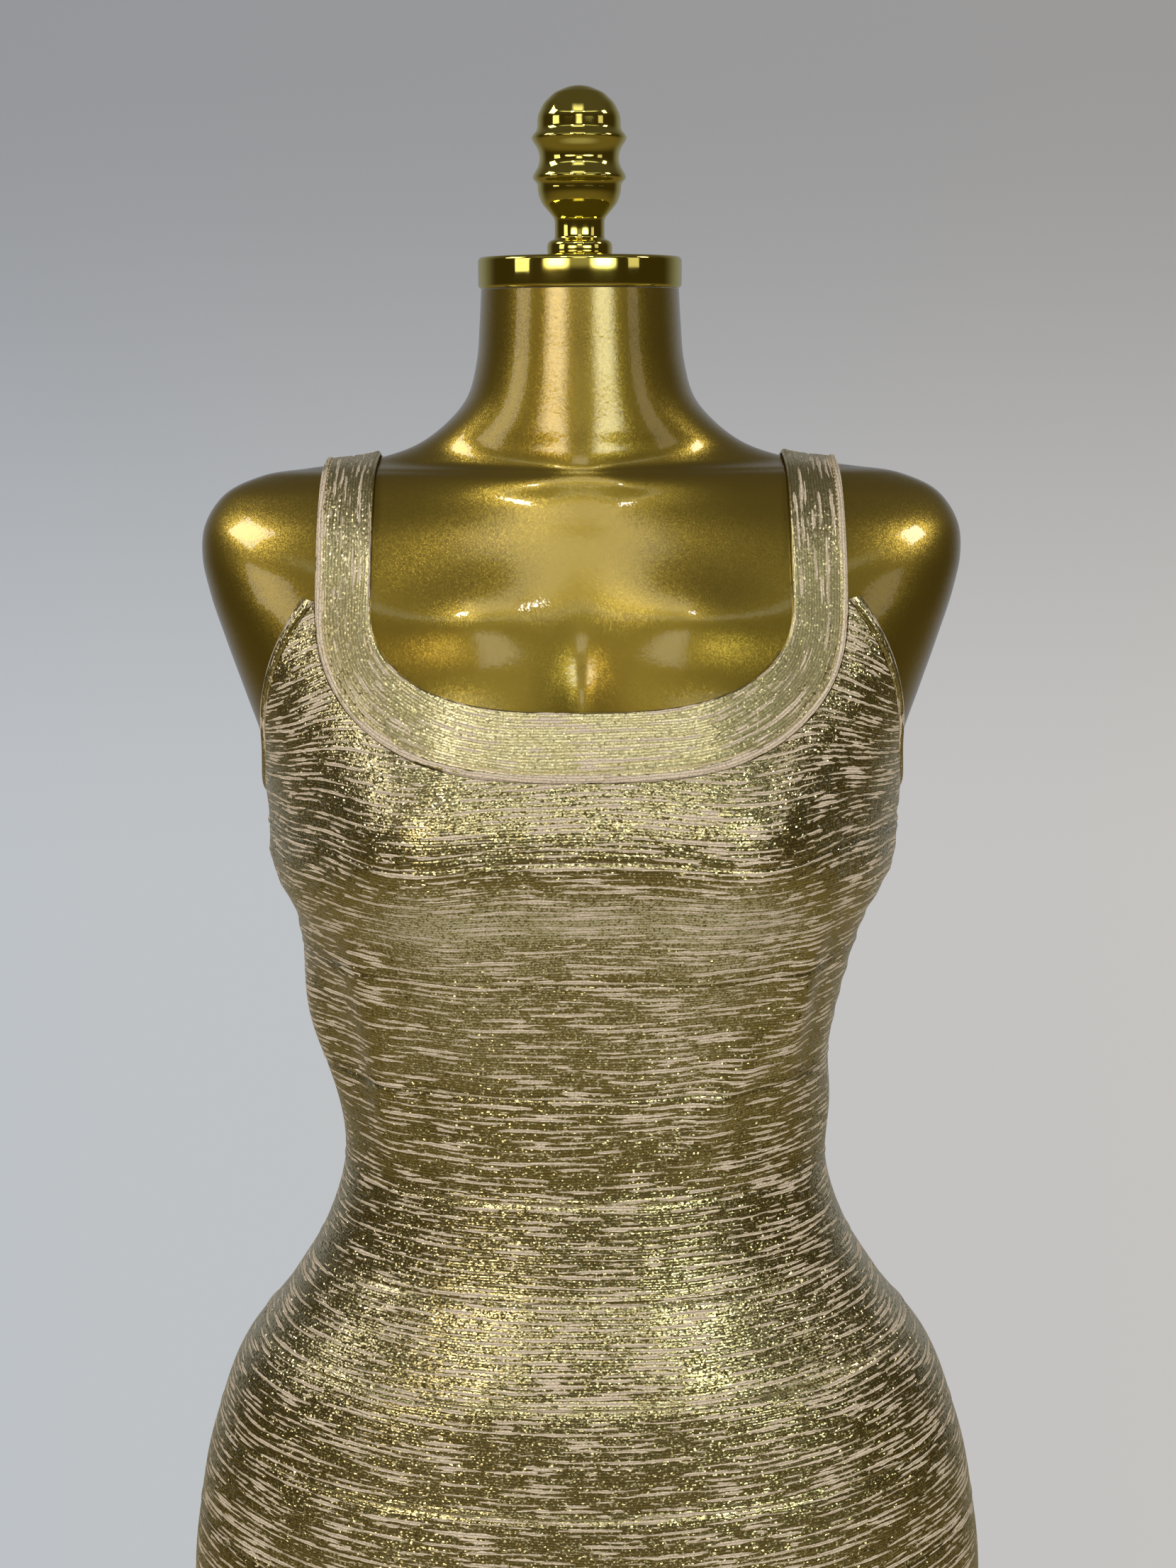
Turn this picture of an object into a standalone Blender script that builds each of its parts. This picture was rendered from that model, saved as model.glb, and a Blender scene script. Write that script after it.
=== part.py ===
"""Bandage-knit bodycon mini dress on a limbless dress form with a turned knob, a pole and a round foot.

Metres, +Z up, the front faces -Y, and the floor is z = 0 under the middle of the foot.
Every cloth piece is a thin wall over one taut surface, which is worked out from the figure's sections.
A turn is an angle round the body: 0 at the middle front, 90 at the +X side, 180 at the middle back.
"""
import bmesh
import bpy
import numpy as np

for thing in list(bpy.data.objects):
    bpy.data.objects.remove(thing, do_unlink=True)

# Cloth, metres
CLOTH_THICKNESS = 0.0015
BAND_THICKNESS = 0.0020
CLEARANCE = 0.0015
SEAM_GAP = 0.0003
BINDING_GAP = 0.0006

# Heights above the floor
NECK_TOP = 1.4551
RIDGE_TOP = 1.3780
WAIST = 1.0100
FORM_BOTTOM = 0.6600
CLOTH_LOWEST = 0.5200

# The form's lower edge is rounded over this height, and its flat underside is this much narrower
FORM_EDGE = 0.0500
FORM_EDGE_INSET = 0.10

# General figure, as level sections from the neck down to the hem
SECTION_COLUMNS = ("height", "half_width", "front", "back", "power")
SECTIONS = (
    (1.4551, 0.0494, 0.0494, 0.0494, 2.00),
    (1.4391, 0.0503, 0.0500, 0.0510, 2.00),
    (1.4190, 0.0522, 0.0508, 0.0542, 2.00),
    (1.4020, 0.0572, 0.0520, 0.0600, 1.95),
    (1.3890, 0.0682, 0.0532, 0.0660, 1.75),
    (1.3802, 0.0800, 0.0540, 0.0695, 1.55),
    (1.3716, 0.1040, 0.0552, 0.0725, 1.35),
    (1.3672, 0.1370, 0.0565, 0.0745, 1.32),
    (1.3632, 0.1620, 0.0582, 0.0765, 1.40),
    (1.3534, 0.1815, 0.0620, 0.0805, 1.62),
    (1.3384, 0.1912, 0.0690, 0.0855, 1.95),
    (1.3240, 0.1925, 0.0755, 0.0895, 2.15),
    (1.3073, 0.1893, 0.0825, 0.0930, 2.25),
    (1.2829, 0.1815, 0.0920, 0.0970, 2.30),
    (1.2557, 0.1720, 0.1005, 0.0990, 2.30),
    (1.2300, 0.1632, 0.1060, 0.0990, 2.30),
    (1.2000, 0.1575, 0.1080, 0.0970, 2.30),
    (1.1650, 0.1540, 0.1065, 0.0920, 2.30),
    (1.1300, 0.1380, 0.1010, 0.0855, 2.25),
    (1.0900, 0.1265, 0.0930, 0.0790, 2.20),
    (1.0500, 0.1225, 0.0865, 0.0755, 2.15),
    (1.0100, 0.1205, 0.0835, 0.0765, 2.10),
    (0.9800, 0.1235, 0.0855, 0.0820, 2.10),
    (0.9400, 0.1505, 0.0940, 0.0950, 2.15),
    (0.9000, 0.1812, 0.1020, 0.1090, 2.20),
    (0.8600, 0.1965, 0.1065, 0.1210, 2.20),
    (0.8200, 0.2055, 0.1085, 0.1285, 2.20),
    (0.7700, 0.2110, 0.1090, 0.1290, 2.20),
    (0.7200, 0.2110, 0.1085, 0.1225, 2.20),
    (0.6600, 0.2075, 0.1080, 0.1160, 2.20),
    (0.5300, 0.2020, 0.1080, 0.1120, 2.20),
)

# Bust: one smooth rise on each side of the middle front
BUST_HEIGHT = 1.190
BUST_TURN = 34.0
BUST_RISE = 0.023
BUST_SPREAD = 20.0
BUST_ABOVE = 0.058
BUST_BELOW = 0.046

# Taut cloth bridges hollows: it is evened out over this height, below this level
BRIDGE_REACH = 0.036
BRIDGE_TOP = 1.2300

# Main folds of the cloth: ridges are positive and troughs negative
FOLD_COLUMNS = ("turn", "height", "turn_reach", "height_reach", "slant", "rise")
FOLDS = (
    (-60.0, 1.0850, 7.0, 0.060, 30.0, 0.0030),
    (-86.0, 1.0850, 13.0, 0.042, 0.0, 0.0125),
    (58.0, 1.1050, 6.0, 0.045, -30.0, 0.0034),
    (88.0, 1.0350, 9.0, 0.024, 0.0, 0.0036),
    (42.0, 1.0650, 7.0, 0.030, 260.0, 0.0030),
    (30.0, 1.0450, 6.0, 0.024, 260.0, -0.0018),
    (84.0, 1.1800, 5.0, 0.030, -60.0, 0.0022),
    (-84.0, 1.1750, 5.0, 0.026, 60.0, 0.0022),
    (128.0, 1.0750, 8.0, 0.050, 40.0, 0.0030),
    (228.0, 1.0850, 7.0, 0.045, -30.0, 0.0028),
    (168.0, 1.0200, 22.0, 0.012, 0.0, 0.0030),
    (196.0, 1.0480, 24.0, 0.010, 0.0, 0.0026),
)

# Neckline: rounded scoops between straight straps, with their lowest points in the middle
STRAP_INNER = 0.1015
STRAP_OUTER = 0.1285
SCOOP_TOP = 1.3100
SCOOP_POWER = 2.7
SCOOP_FRONT_INNER = 1.2570
SCOOP_FRONT_OUTER = 1.2252
SCOOP_BACK_INNER = 1.2750
SCOOP_BACK_OUTER = 1.2430

# Round the straps the cloth takes their taut line, and eases back to the body over these distances
EASE_INNER = 0.0750
EASE_OUTER = 0.1500
EASE_LOW = 1.2100
EASE_HIGH = 1.2500

# Working out a strap's line: how near the shoulder's end it is sampled, how far past the top it runs,
# and how far above the armhole's top its depths are tabled
STRAP_LINE_MARGIN = 0.0005
STRAP_LINE_PAST = 0.0020
STRAP_TABLE_PAST = 0.0140

# Armholes: the cloth's edge falls from the strap to the side seam
ARMHOLE_BOTTOM = 1.2000
ARMHOLE_TOP = 1.3060
ARMHOLE_POWER = 2.0
BINDING_WIDTH = 0.0055
BINDING_THICKNESS = 0.0024

# The top panels' columns lie at least this many degrees farther out below than above
PANEL_FLARE = 2.0

# Seams between the strips, as distances up the cloth from the waist, top seam first and hem last.
# The stretch of the cloth makes the strips uneven down to the hips, and they are even below.
BODICE_SEAMS = (0.1841, 0.1164, 0.0528, -0.0032, -0.0533, -0.1064, -0.1625)
SKIRT_STRIPS = 6
SKIRT_STRIP = 0.0540

# A level section's outline is stretched only by directions less than about 80 degrees away
FACING_LIMIT = 0.2

# Edges that turn by more than this many radians stay sharp
SHARP_ANGLE = 0.7

# Fineness of the surface that the cloth pieces are read from
FIGURE_SAMPLES = 4000
GRID_ROWS = 344
GRID_TURN_STEP = 3.0
DEPTH_SAMPLES = 181
STRAP_TABLE_WIDTHS = 9
STRAP_TABLE_HEIGHTS = 60

# Mesh fineness
STRIP_COLUMNS = 20
BODICE_ROWS = 3
SKIRT_ROWS = 2
COLUMN_STRETCH = 1.6
SCOOP_COLUMNS = 20
ARMHOLE_COLUMNS = 8
ARMHOLE_SPACING = 0.6
STRAP_ROWS = 8
BAND_ROWS = 3
BINDING_ROWS = 2
PANEL_ROWS = 6
FORM_COLUMNS = 40
FORM_ROWS_ABOVE = 30
FORM_ROWS_BELOW = 13
FORM_ROWS_EDGE = 5
TURNED_COLUMNS = 24

# Neck cap, knob, pole and foot
CAP_RADIUS = 0.0508
CAP_HEIGHT = 0.0153
CAP_BEVEL = 0.0012
POLE_RADIUS = 0.0140
FLANGE_RADIUS = 0.0450
FLANGE_HEIGHT = 0.0060
FLANGE_BEVEL = 0.0005
FLANGE_CONE_RADIUS = 0.0240
FLANGE_CONE_HEIGHT = 0.0120

# Outlines from the lower end up. The foot's rim is rounded, and the pole's collar tapers.
TURNED_OUTLINE_COLUMNS = ("height", "radius")
BASE = (
    (0.0000, 0.1740),
    (0.0010, 0.1750),
    (0.0072, 0.1750),
    (0.0096, 0.1720),
    (0.0120, 0.1630),
)
COLLAR = (
    (0.0000, 0.0260),
    (0.0210, 0.0220),
    (0.0300, 0.0160),
    (0.0310, POLE_RADIUS),
)

# Knob: outline from its foot ring to its crown
KNOB = (
    (0.0000, 0.0150),
    (0.0012, 0.0162),
    (0.0064, 0.0162),
    (0.0080, 0.0146),
    (0.0086, 0.0124),
    (0.0185, 0.0124),
    (0.0215, 0.0150),
    (0.0262, 0.0190),
    (0.0315, 0.0207),
    (0.0355, 0.0207),
    (0.0376, 0.0231),
    (0.0392, 0.0231),
    (0.0440, 0.0202),
    (0.0480, 0.0195),
    (0.0520, 0.0204),
    (0.0566, 0.0235),
    (0.0582, 0.0235),
    (0.0612, 0.0207),
    (0.0680, 0.0205),
    (0.0740, 0.0176),
    (0.0790, 0.0124),
    (0.0818, 0.0060),
    (0.0826, 0.0015),
)

COLOURS = {
    "foil_knit": ((0.36, 0.27, 0.13), 0.42, 0.55),
    "gold_lacquer": ((0.45, 0.28, 0.05), 0.25, 0.70),
    "gold_plating": ((0.80, 0.60, 0.16), 0.10, 1.00),
}


def material(name):
    """Plain finish of one material: its colour, roughness and metallic value."""
    colour, roughness, metallic = COLOURS[name]
    made = bpy.data.materials.get(name) or bpy.data.materials.new(name)
    made.use_nodes = True
    shader = made.node_tree.nodes["Principled BSDF"]
    shader.inputs["Base Color"].default_value = (*colour, 1.0)
    shader.inputs["Roughness"].default_value = roughness
    shader.inputs["Metallic"].default_value = metallic
    return made


def columns(table, names):
    """Turns a table's rows into one array for each named column."""
    return dict(zip(names, np.array(table).T))


def smooth_table(table):
    """Carries a smooth curve through a table's rows: each stretch is a cubic whose slope at a row is
    that of the chord between the rows beside it, with the rows spaced by the length of their chords."""
    rows = np.array(table)
    steps = np.linalg.norm(np.diff(rows[:, :2], axis=0), axis=1)
    along = np.concatenate(([0.0], np.cumsum(steps)))
    slopes = np.gradient(rows, along, axis=0)
    where = np.linspace(0.0, along[-1], FIGURE_SAMPLES)
    low = np.clip(np.searchsorted(along, where, side="right") - 1, 0, len(along) - 2)
    span = (along[low + 1] - along[low])[:, None]
    t = (where - along[low])[:, None] / span
    start = (2 * t**3 - 3 * t**2 + 1) * rows[low] + (t**3 - 2 * t**2 + t) * span * slopes[low]
    end = (3 * t**2 - 2 * t**3) * rows[low + 1] + (t**3 - t**2) * span * slopes[low + 1]
    return start + end


FIGURE = dict(zip(SECTION_COLUMNS, smooth_table(SECTIONS).T))


def section(name, height):
    """Reads one column of the figure at any height."""
    return np.interp(-np.asarray(height), -FIGURE["height"], FIGURE[name])


def figure_radius(turn, height):
    """Distance from the axis to the figure: a rounded oval whose front and back differ in depth,
    r = 1 / ((|sin| / half_width)^p + (|cos| / depth)^p)^(1/p), plus the rise of the bust."""
    angle = np.radians(turn)
    across, ahead = np.abs(np.sin(angle)), np.cos(angle)
    depth = np.where(ahead > 0, section("front", height), section("back", height))
    power = section("power", height)
    oval = (across / section("half_width", height)) ** power + (np.abs(ahead) / depth) ** power
    away = np.abs((np.asarray(turn) + 180.0) % 360.0 - 180.0) - BUST_TURN
    lift = np.asarray(height) - BUST_HEIGHT
    reach = np.where(lift > 0, BUST_ABOVE, BUST_BELOW)
    bust = BUST_RISE * np.exp(-((away / BUST_SPREAD) ** 2) - (lift / reach) ** 2)
    return oval ** (-1.0 / power) + bust


def fold_rise(turn, height):
    """Sum of the folds: each is a bell across its turn and along its height, on a slanting line."""
    total = np.zeros(np.broadcast(turn, height).shape)
    fold = columns(FOLDS, FOLD_COLUMNS)
    for k in range(len(FOLDS)):
        up = height - fold["height"][k]
        away = (turn - fold["turn"][k] - fold["slant"][k] * up + 180.0) % 360.0 - 180.0
        bell = (away / fold["turn_reach"][k]) ** 2 + (up / fold["height_reach"][k]) ** 2
        total += fold["rise"][k] * np.exp(-bell)
    return total


GRID_HEIGHTS = np.linspace(CLOTH_LOWEST, RIDGE_TOP, GRID_ROWS)
GRID_TURNS = np.arange(0.0, 360.0, GRID_TURN_STEP)


def stretched_section(radius):
    """Convex outline round one section, from its support: the farthest reach in each direction."""
    angle = np.radians(GRID_TURNS)
    facing = np.cos(angle[:, None] - angle[None, :])
    support = (radius[None, :] * facing).max(axis=1)
    ahead = np.where(facing > FACING_LIMIT, facing, np.nan)
    return np.nanmin(support[:, None] / ahead, axis=0)


def evened(grid):
    """Moving average up and down each turn, made twice, so the result has no corners."""
    step = GRID_HEIGHTS[1] - GRID_HEIGHTS[0]
    reach = int(round(BRIDGE_REACH / step))
    window = np.ones(2 * reach + 1) / (2 * reach + 1)
    for _ in range(2):
        padded = np.pad(grid, ((reach, reach), (0, 0)), mode="edge")
        grid = np.apply_along_axis(np.convolve, 0, padded, window, mode="valid")
    return grid


def cloth_grid():
    """Inner surface of the cloth: convex round each level, bridging hollows up and down, plus folds."""
    turns, heights = np.meshgrid(GRID_TURNS, GRID_HEIGHTS)
    bare = figure_radius(turns, heights)
    taut = np.array([stretched_section(row) for row in bare])
    share = np.clip((BRIDGE_TOP - heights) / BRIDGE_REACH, 0.0, 1.0)
    bridged = taut + share * np.maximum(evened(taut) - taut, 0.0)
    folded = bridged + fold_rise(turns, heights)
    return np.maximum(folded, taut) + CLEARANCE


CLOTH = cloth_grid()


def cloth_radius(turn, height):
    """Reads the cloth's inner surface between the grid's points."""
    turn, height = np.broadcast_arrays(np.asarray(turn, float), np.asarray(height, float))
    across = (turn % 360.0) / (GRID_TURNS[1] - GRID_TURNS[0])
    left = np.floor(across).astype(int) % len(GRID_TURNS)
    right = (left + 1) % len(GRID_TURNS)
    up = (height - GRID_HEIGHTS[0]) / (GRID_HEIGHTS[1] - GRID_HEIGHTS[0])
    low = np.clip(np.floor(up).astype(int), 0, len(GRID_HEIGHTS) - 2)
    s, t = across - np.floor(across), np.clip(up - low, 0.0, 1.0)
    lower = CLOTH[low, left] * (1 - s) + CLOTH[low, right] * s
    upper = CLOTH[low + 1, left] * (1 - s) + CLOTH[low + 1, right] * s
    return lower * (1 - t) + upper * t


def height_at(turn, along):
    """Height of the cloth's point that lies this far up the surface from the waist, at each turn."""
    result = np.empty(np.broadcast(turn, along).shape)
    turns, lengths = np.broadcast_arrays(turn, along)
    for j in range(turns.shape[-1]):
        radius = cloth_radius(turns[0, j], GRID_HEIGHTS)
        steps = np.hypot(np.diff(radius), np.diff(GRID_HEIGHTS))
        length = np.concatenate(([0.0], np.cumsum(steps)))
        length -= np.interp(WAIST, GRID_HEIGHTS, length)
        result[:, j] = np.interp(lengths[:, j], length, GRID_HEIGHTS)
    return result


def depth_at(x, height, back, radius=cloth_radius):
    """How far the surface lies in front of the axis plane, or behind it, at a side distance x."""
    turns = np.linspace(0.0, 90.0, DEPTH_SAMPLES)
    facing = 180.0 - turns if back else turns
    x, height = np.broadcast_arrays(np.abs(x), height)
    depth = np.empty(x.shape)
    for index in np.ndindex(x.shape):
        reach = radius(facing, height[index])
        side = reach * np.sin(np.radians(turns))
        widest = int(np.argmax(side)) + 1
        depth[index] = np.interp(x[index], side[:widest], (reach * np.cos(np.radians(turns)))[:widest])
    return depth


def outer_hull(points):
    """Corners of the convex outline that lies farthest out, for points sorted by their first value."""
    hull = []
    for point in points:
        while len(hull) > 1:
            (ax, ay), (bx, by) = hull[-2], hull[-1]
            if (bx - ax) * (point[1] - ay) - (by - ay) * (point[0] - ax) < 0:
                break
            hull.pop()
        hull.append(tuple(point))
    return np.array(hull)


def strap_line(x, back):
    """Taut line of a strap over the shoulder at a side distance x, as depth and height:
    the convex outline of the figure's cut there, moved out by the clearance."""
    low = BUST_HEIGHT if not back else SCOOP_BACK_OUTER
    heights = np.concatenate([np.linspace(low, SCOOP_TOP, 50), np.linspace(SCOOP_TOP, RIDGE_TOP, 120)[1:]])
    inside = heights[section("half_width", heights) > abs(x) + STRAP_LINE_MARGIN]
    line = []
    for side in (back, not back):
        depth = depth_at(x, inside, side, figure_radius)
        if side == back:
            cloth = depth_at(x, inside, side) - CLEARANCE
            depth = np.where(inside < SCOOP_TOP, cloth, depth)
        line.append((depth, inside))
    near = np.stack([-line[0][0], line[0][1]], axis=1)
    far = np.stack([line[1][0], line[1][1]], axis=1)
    crown = np.array([[0.0, inside[-1] + STRAP_LINE_MARGIN]])
    points = np.concatenate([near, crown, far[::-1]])
    hull = outer_hull(points[np.argsort(points[:, 0], kind="stable")])
    hull = hull[hull[:, 0] <= STRAP_LINE_PAST]
    steps = np.gradient(hull, axis=0)
    normal = np.stack([-steps[:, 1], steps[:, 0]], axis=1)
    normal /= np.linalg.norm(normal, axis=1)[:, None]
    return hull + normal * CLEARANCE


def ease(value, low, high):
    """Smooth step from 0 at low to 1 at high."""
    t = np.clip((value - low) / (high - low), 0.0, 1.0)
    return t * t * (3.0 - 2.0 * t)


def strap_share(x, height):
    """How much of the strap's lift the cloth takes: all of it under the strap, none low down or far off."""
    x = np.abs(x)
    beside = ease(x, EASE_INNER, STRAP_INNER) * ease(-x, -EASE_OUTER, -STRAP_OUTER)
    return beside * ease(height, EASE_LOW, EASE_HIGH)


def strap_table(back):
    """Depth of the taut strap for a few side distances and many heights, read by lifted_depth."""
    xs = np.linspace(EASE_INNER, EASE_OUTER, STRAP_TABLE_WIDTHS)
    heights = np.linspace(EASE_LOW, ARMHOLE_TOP + STRAP_TABLE_PAST, STRAP_TABLE_HEIGHTS)
    depth = []
    for x in xs:
        line = strap_line(x, back)
        depth.append(np.interp(heights, line[:, 1], -line[:, 0]))
    return xs, heights, np.array(depth)


STRAPS = {back: strap_table(back) for back in (False, True)}


def lifted_depth(x, height, back):
    """Depth of the cloth near the neckline: the body's, raised beside the straps to their taut line."""
    xs, heights, table = STRAPS[back]
    body = depth_at(x, height, back)
    x, height = np.broadcast_arrays(np.abs(x), height)
    across = np.clip(np.interp(x, xs, np.arange(len(xs))), 0, len(xs) - 1.001)
    low = np.floor(across).astype(int)
    up = np.interp(height, heights, np.arange(len(heights)))
    row = np.clip(np.floor(up).astype(int), 0, len(heights) - 2)
    s, t = across - low, up - row
    taut = (table[low, row] * (1 - t) + table[low, row + 1] * t) * (1 - s)
    taut += (table[low + 1, row] * (1 - t) + table[low + 1, row + 1] * t) * s
    return body + strap_share(x, height) * np.maximum(taut - body, 0.0)


def on_body(x, height, back):
    """Places points of the neckline pieces in space."""
    depth = lifted_depth(x, height, back)
    return np.stack([x, depth if back else -depth, np.broadcast_to(height, np.shape(x))], axis=-1)


def moved_out(points, distance):
    """Moves a grid of points along its own normals, which the rows' and columns' directions give."""
    down = np.gradient(points, axis=0)
    along = np.gradient(points, axis=1)
    normal = np.cross(along, down)
    normal /= np.linalg.norm(normal, axis=-1)[..., None]
    facing = np.sign((normal[..., :2] * points[..., :2]).sum())
    return points + normal * facing * distance


def add_object(name, verts, faces, finish):
    """Makes one closed, smooth-shaded solid from its points and faces."""
    mesh = bpy.data.meshes.new(name)
    mesh.from_pydata([tuple(v) for v in verts], [], faces)
    shape = bmesh.new()
    shape.from_mesh(mesh)
    bmesh.ops.recalc_face_normals(shape, faces=shape.faces)
    shape.to_mesh(mesh)
    shape.free()
    mesh.materials.append(material(finish))
    mesh.shade_smooth()
    mesh.set_sharp_from_angle(angle=SHARP_ANGLE)
    made = bpy.data.objects.new(name, mesh)
    bpy.context.scene.collection.objects.link(made)
    return made


def grid_faces(rows, count, first=0, flip=False):
    """Four-sided faces between neighbouring rows of a grid of points."""
    faces = []
    for i in range(rows - 1):
        for j in range(count - 1):
            a = first + i * count + j
            face = (a, a + 1, a + 1 + count, a + count)
            faces.append(face[::-1] if flip else face)
    return faces


def add_wall(name, inner, outer, finish="foil_knit"):
    """Closed wall between two grids of the same size: both faces and the four edges."""
    rows, count = inner.shape[:2]
    size = rows * count
    faces = grid_faces(rows, count) + grid_faces(rows, count, size, flip=True)
    top = list(range(count))
    bottom = [(rows - 1) * count + j for j in range(count)]
    left = [i * count for i in range(rows)]
    right = [i * count + count - 1 for i in range(rows)]
    for edge in (top, bottom, left, right):
        for a, b in zip(edge, edge[1:]):
            faces.append((a, b, b + size, a + size))
    verts = np.concatenate([inner.reshape(-1, 3), outer.reshape(-1, 3)])
    return add_object(name, verts, faces, finish)


def strip_point(turn, height, out, back):
    """Point on the cloth, kept half a seam gap clear of the side seam's plane."""
    radius = cloth_radius(turn, height) + out
    x = radius * np.sin(np.radians(turn))
    depth = np.maximum(np.abs(radius * np.cos(np.radians(turn))), SEAM_GAP / 2)
    return np.stack([x, depth if back else -depth, height], axis=-1)


def spread_turns(phase):
    """Turns that share out an oval's rim evenly: closer together at the sides, where it bends most."""
    turn = np.degrees(np.arctan2(COLUMN_STRETCH * np.sin(phase), np.cos(phase)))
    return np.where(phase > np.pi + 1e-9, turn + 360.0, turn)


def turns_of(back, count):
    """Turns of a half-round strip's columns, from side seam to side seam."""
    start = np.pi / 2 if back else -np.pi / 2
    return spread_turns(np.linspace(start, start + np.pi, count + 1))


def add_strip(name, top, bottom, rows, back):
    """One horizontal strip of one half, between two seams given as distances up from the waist."""
    turn = turns_of(back, STRIP_COLUMNS)[None, :]
    along = np.linspace(top - SEAM_GAP / 2, bottom + SEAM_GAP / 2, rows + 1)[:, None]
    height = height_at(turn, along)
    turn = np.broadcast_to(turn, height.shape)
    inner = strip_point(turn, height, 0.0, back)
    outer = strip_point(turn, height, CLOTH_THICKNESS, back)
    return add_wall(name, inner, outer)


def scoop_edge(half_width, bottom, phase):
    """Rounded scoop between two straps: |x / w|^p + |drop / depth|^p = 1, by its phase from side to side."""
    sine, cosine = np.sin(phase), np.cos(phase)
    x = half_width * np.sign(sine) * np.abs(sine) ** (2.0 / SCOOP_POWER)
    z = SCOOP_TOP - (SCOOP_TOP - bottom) * np.abs(cosine) ** (2.0 / SCOOP_POWER)
    return x, z


def scoop_phases():
    """Phases of the scoop's columns, from strap to strap."""
    return np.linspace(-np.pi / 2, np.pi / 2, SCOOP_COLUMNS + 1)


def add_neck_band(name, back):
    """Shaped band round the scoop, with the two straps up to the shoulder seam."""
    inner_low = SCOOP_BACK_INNER if back else SCOOP_FRONT_INNER
    outer_low = SCOOP_BACK_OUTER if back else SCOOP_FRONT_OUTER
    inner_x, inner_z = scoop_edge(STRAP_INNER, inner_low, scoop_phases())
    outer_x, outer_z = scoop_edge(STRAP_OUTER, outer_low, scoop_phases())
    across = np.linspace(0.0, 1.0, BAND_ROWS + 1)[:, None]
    x = inner_x + (outer_x - inner_x) * across
    z = inner_z + (outer_z - inner_z) * across
    scoop = on_body(x, z, back)
    left = strap_points(across[:, 0], back, -1.0)
    right = strap_points(across[:, 0], back, 1.0)
    points = np.concatenate([left[:, :-1], scoop, right[:, ::-1][:, 1:]], axis=1)
    return add_wall(name, points, moved_out(points, BAND_THICKNESS))


def strap_points(across, back, side):
    """Strap from the shoulder seam down to the scoop's top, with its taut line at each width."""
    strap = []
    for share in across:
        x = STRAP_INNER + (STRAP_OUTER - STRAP_INNER) * share
        line = strap_line(x, back)[::-1]
        line = line[line[:, 0] < -SEAM_GAP / 2]
        first = np.array([[-SEAM_GAP / 2, line[0, 1]]])
        line = np.concatenate([first, line])
        joint = np.interp(SCOOP_TOP, line[::-1, 1], line[::-1, 0])
        above = line[line[:, 1] > SCOOP_TOP + STRAP_LINE_MARGIN]
        line = np.concatenate([above, [[joint, SCOOP_TOP]]])
        length = np.concatenate(([0.0], np.cumsum(np.linalg.norm(np.diff(line, axis=0), axis=1))))
        where = np.linspace(0.0, length[-1], STRAP_ROWS + 1)
        depth = np.interp(where, length, line[:, 0])
        height = np.interp(where, length, line[:, 1])
        depth[-1] = -lifted_depth(np.array([x]), np.array([SCOOP_TOP]), back)[0]
        strap.append(np.stack([np.full(len(where), side * x), -depth if back else depth, height], axis=1))
    return np.array(strap)


def armhole_edge(back):
    """Cloth's edge from the strap's outer side down to the side seam, as turns and heights.
    It falls steeply beside the strap and runs level under the arm."""
    start = STRAP_OUTER + SEAM_GAP
    top_turn = turn_of(start, ARMHOLE_TOP, back)
    share = np.linspace(1.0, 0.0, ARMHOLE_COLUMNS + 1) ** ARMHOLE_SPACING
    turn = 90.0 - (90.0 - top_turn) * share
    height = ARMHOLE_BOTTOM + (ARMHOLE_TOP - ARMHOLE_BOTTOM) * share**ARMHOLE_POWER
    return turn, height


def turn_of(x, height, back):
    """Turn from the middle of the front or back at which the surface lies x to the side."""
    depth = lifted_depth(np.atleast_1d(x), np.atleast_1d(height), back)[0]
    return float(np.degrees(np.arctan2(x, depth)))


def add_top_panel(name, back):
    """Piece between the neck band, the two armholes and the first level seam. Its columns run from a
    point of the upper edge to a point of the seam, and its rows share out the way between them."""
    low = SCOOP_BACK_OUTER if back else SCOOP_FRONT_OUTER
    phases = scoop_phases()[1:-1]
    x, z = scoop_edge(STRAP_OUTER + SEAM_GAP, low - SEAM_GAP, phases)
    depth = lifted_depth(x, z, back)
    scoop_turn = np.degrees(np.arctan2(x, depth))
    arm_turn, arm_height = armhole_edge(back)
    upper_turn = np.concatenate([-arm_turn[::-1], scoop_turn, arm_turn])
    upper_height = np.concatenate([arm_height[::-1], z, arm_height])
    count = len(upper_turn)
    spread = np.linspace(-90.0, 90.0, count)
    outward = np.maximum(np.abs(spread), np.minimum(np.abs(upper_turn) + PANEL_FLARE, 90.0))
    lower_turn = np.sign(np.round(upper_turn, 6)) * outward
    facing = 180.0 - lower_turn if back else lower_turn
    lower_height = height_at(facing[None, :], np.array([[BODICE_SEAMS[0] + SEAM_GAP]]))[0]
    share = np.linspace(0.0, 1.0, PANEL_ROWS + 1)[:, None]
    turn = upper_turn + (lower_turn - upper_turn) * share
    height = upper_height + (lower_height - upper_height) * share
    inner = panel_point(turn, height, back)
    outer = moved_out(inner, CLOTH_THICKNESS)
    for points in (inner, outer):
        limit = SEAM_GAP / 2
        points[..., 1] = np.maximum(points[..., 1], limit) if back else np.minimum(points[..., 1], -limit)
    return add_wall(name, inner, outer)


def panel_point(turn, height, back):
    """Point on the raised cloth: the taut surface's, moved out along its ray where the strap lifts it."""
    facing = 180.0 - turn if back else turn
    radius = cloth_radius(facing, height)
    x = radius * np.sin(np.radians(turn))
    body = radius * np.cos(np.radians(turn))
    lift = lifted_depth(x, height, back) - depth_at(x, height, back)
    depth = body + lift
    return np.stack([x, depth if back else -depth, height], axis=-1)


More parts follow.
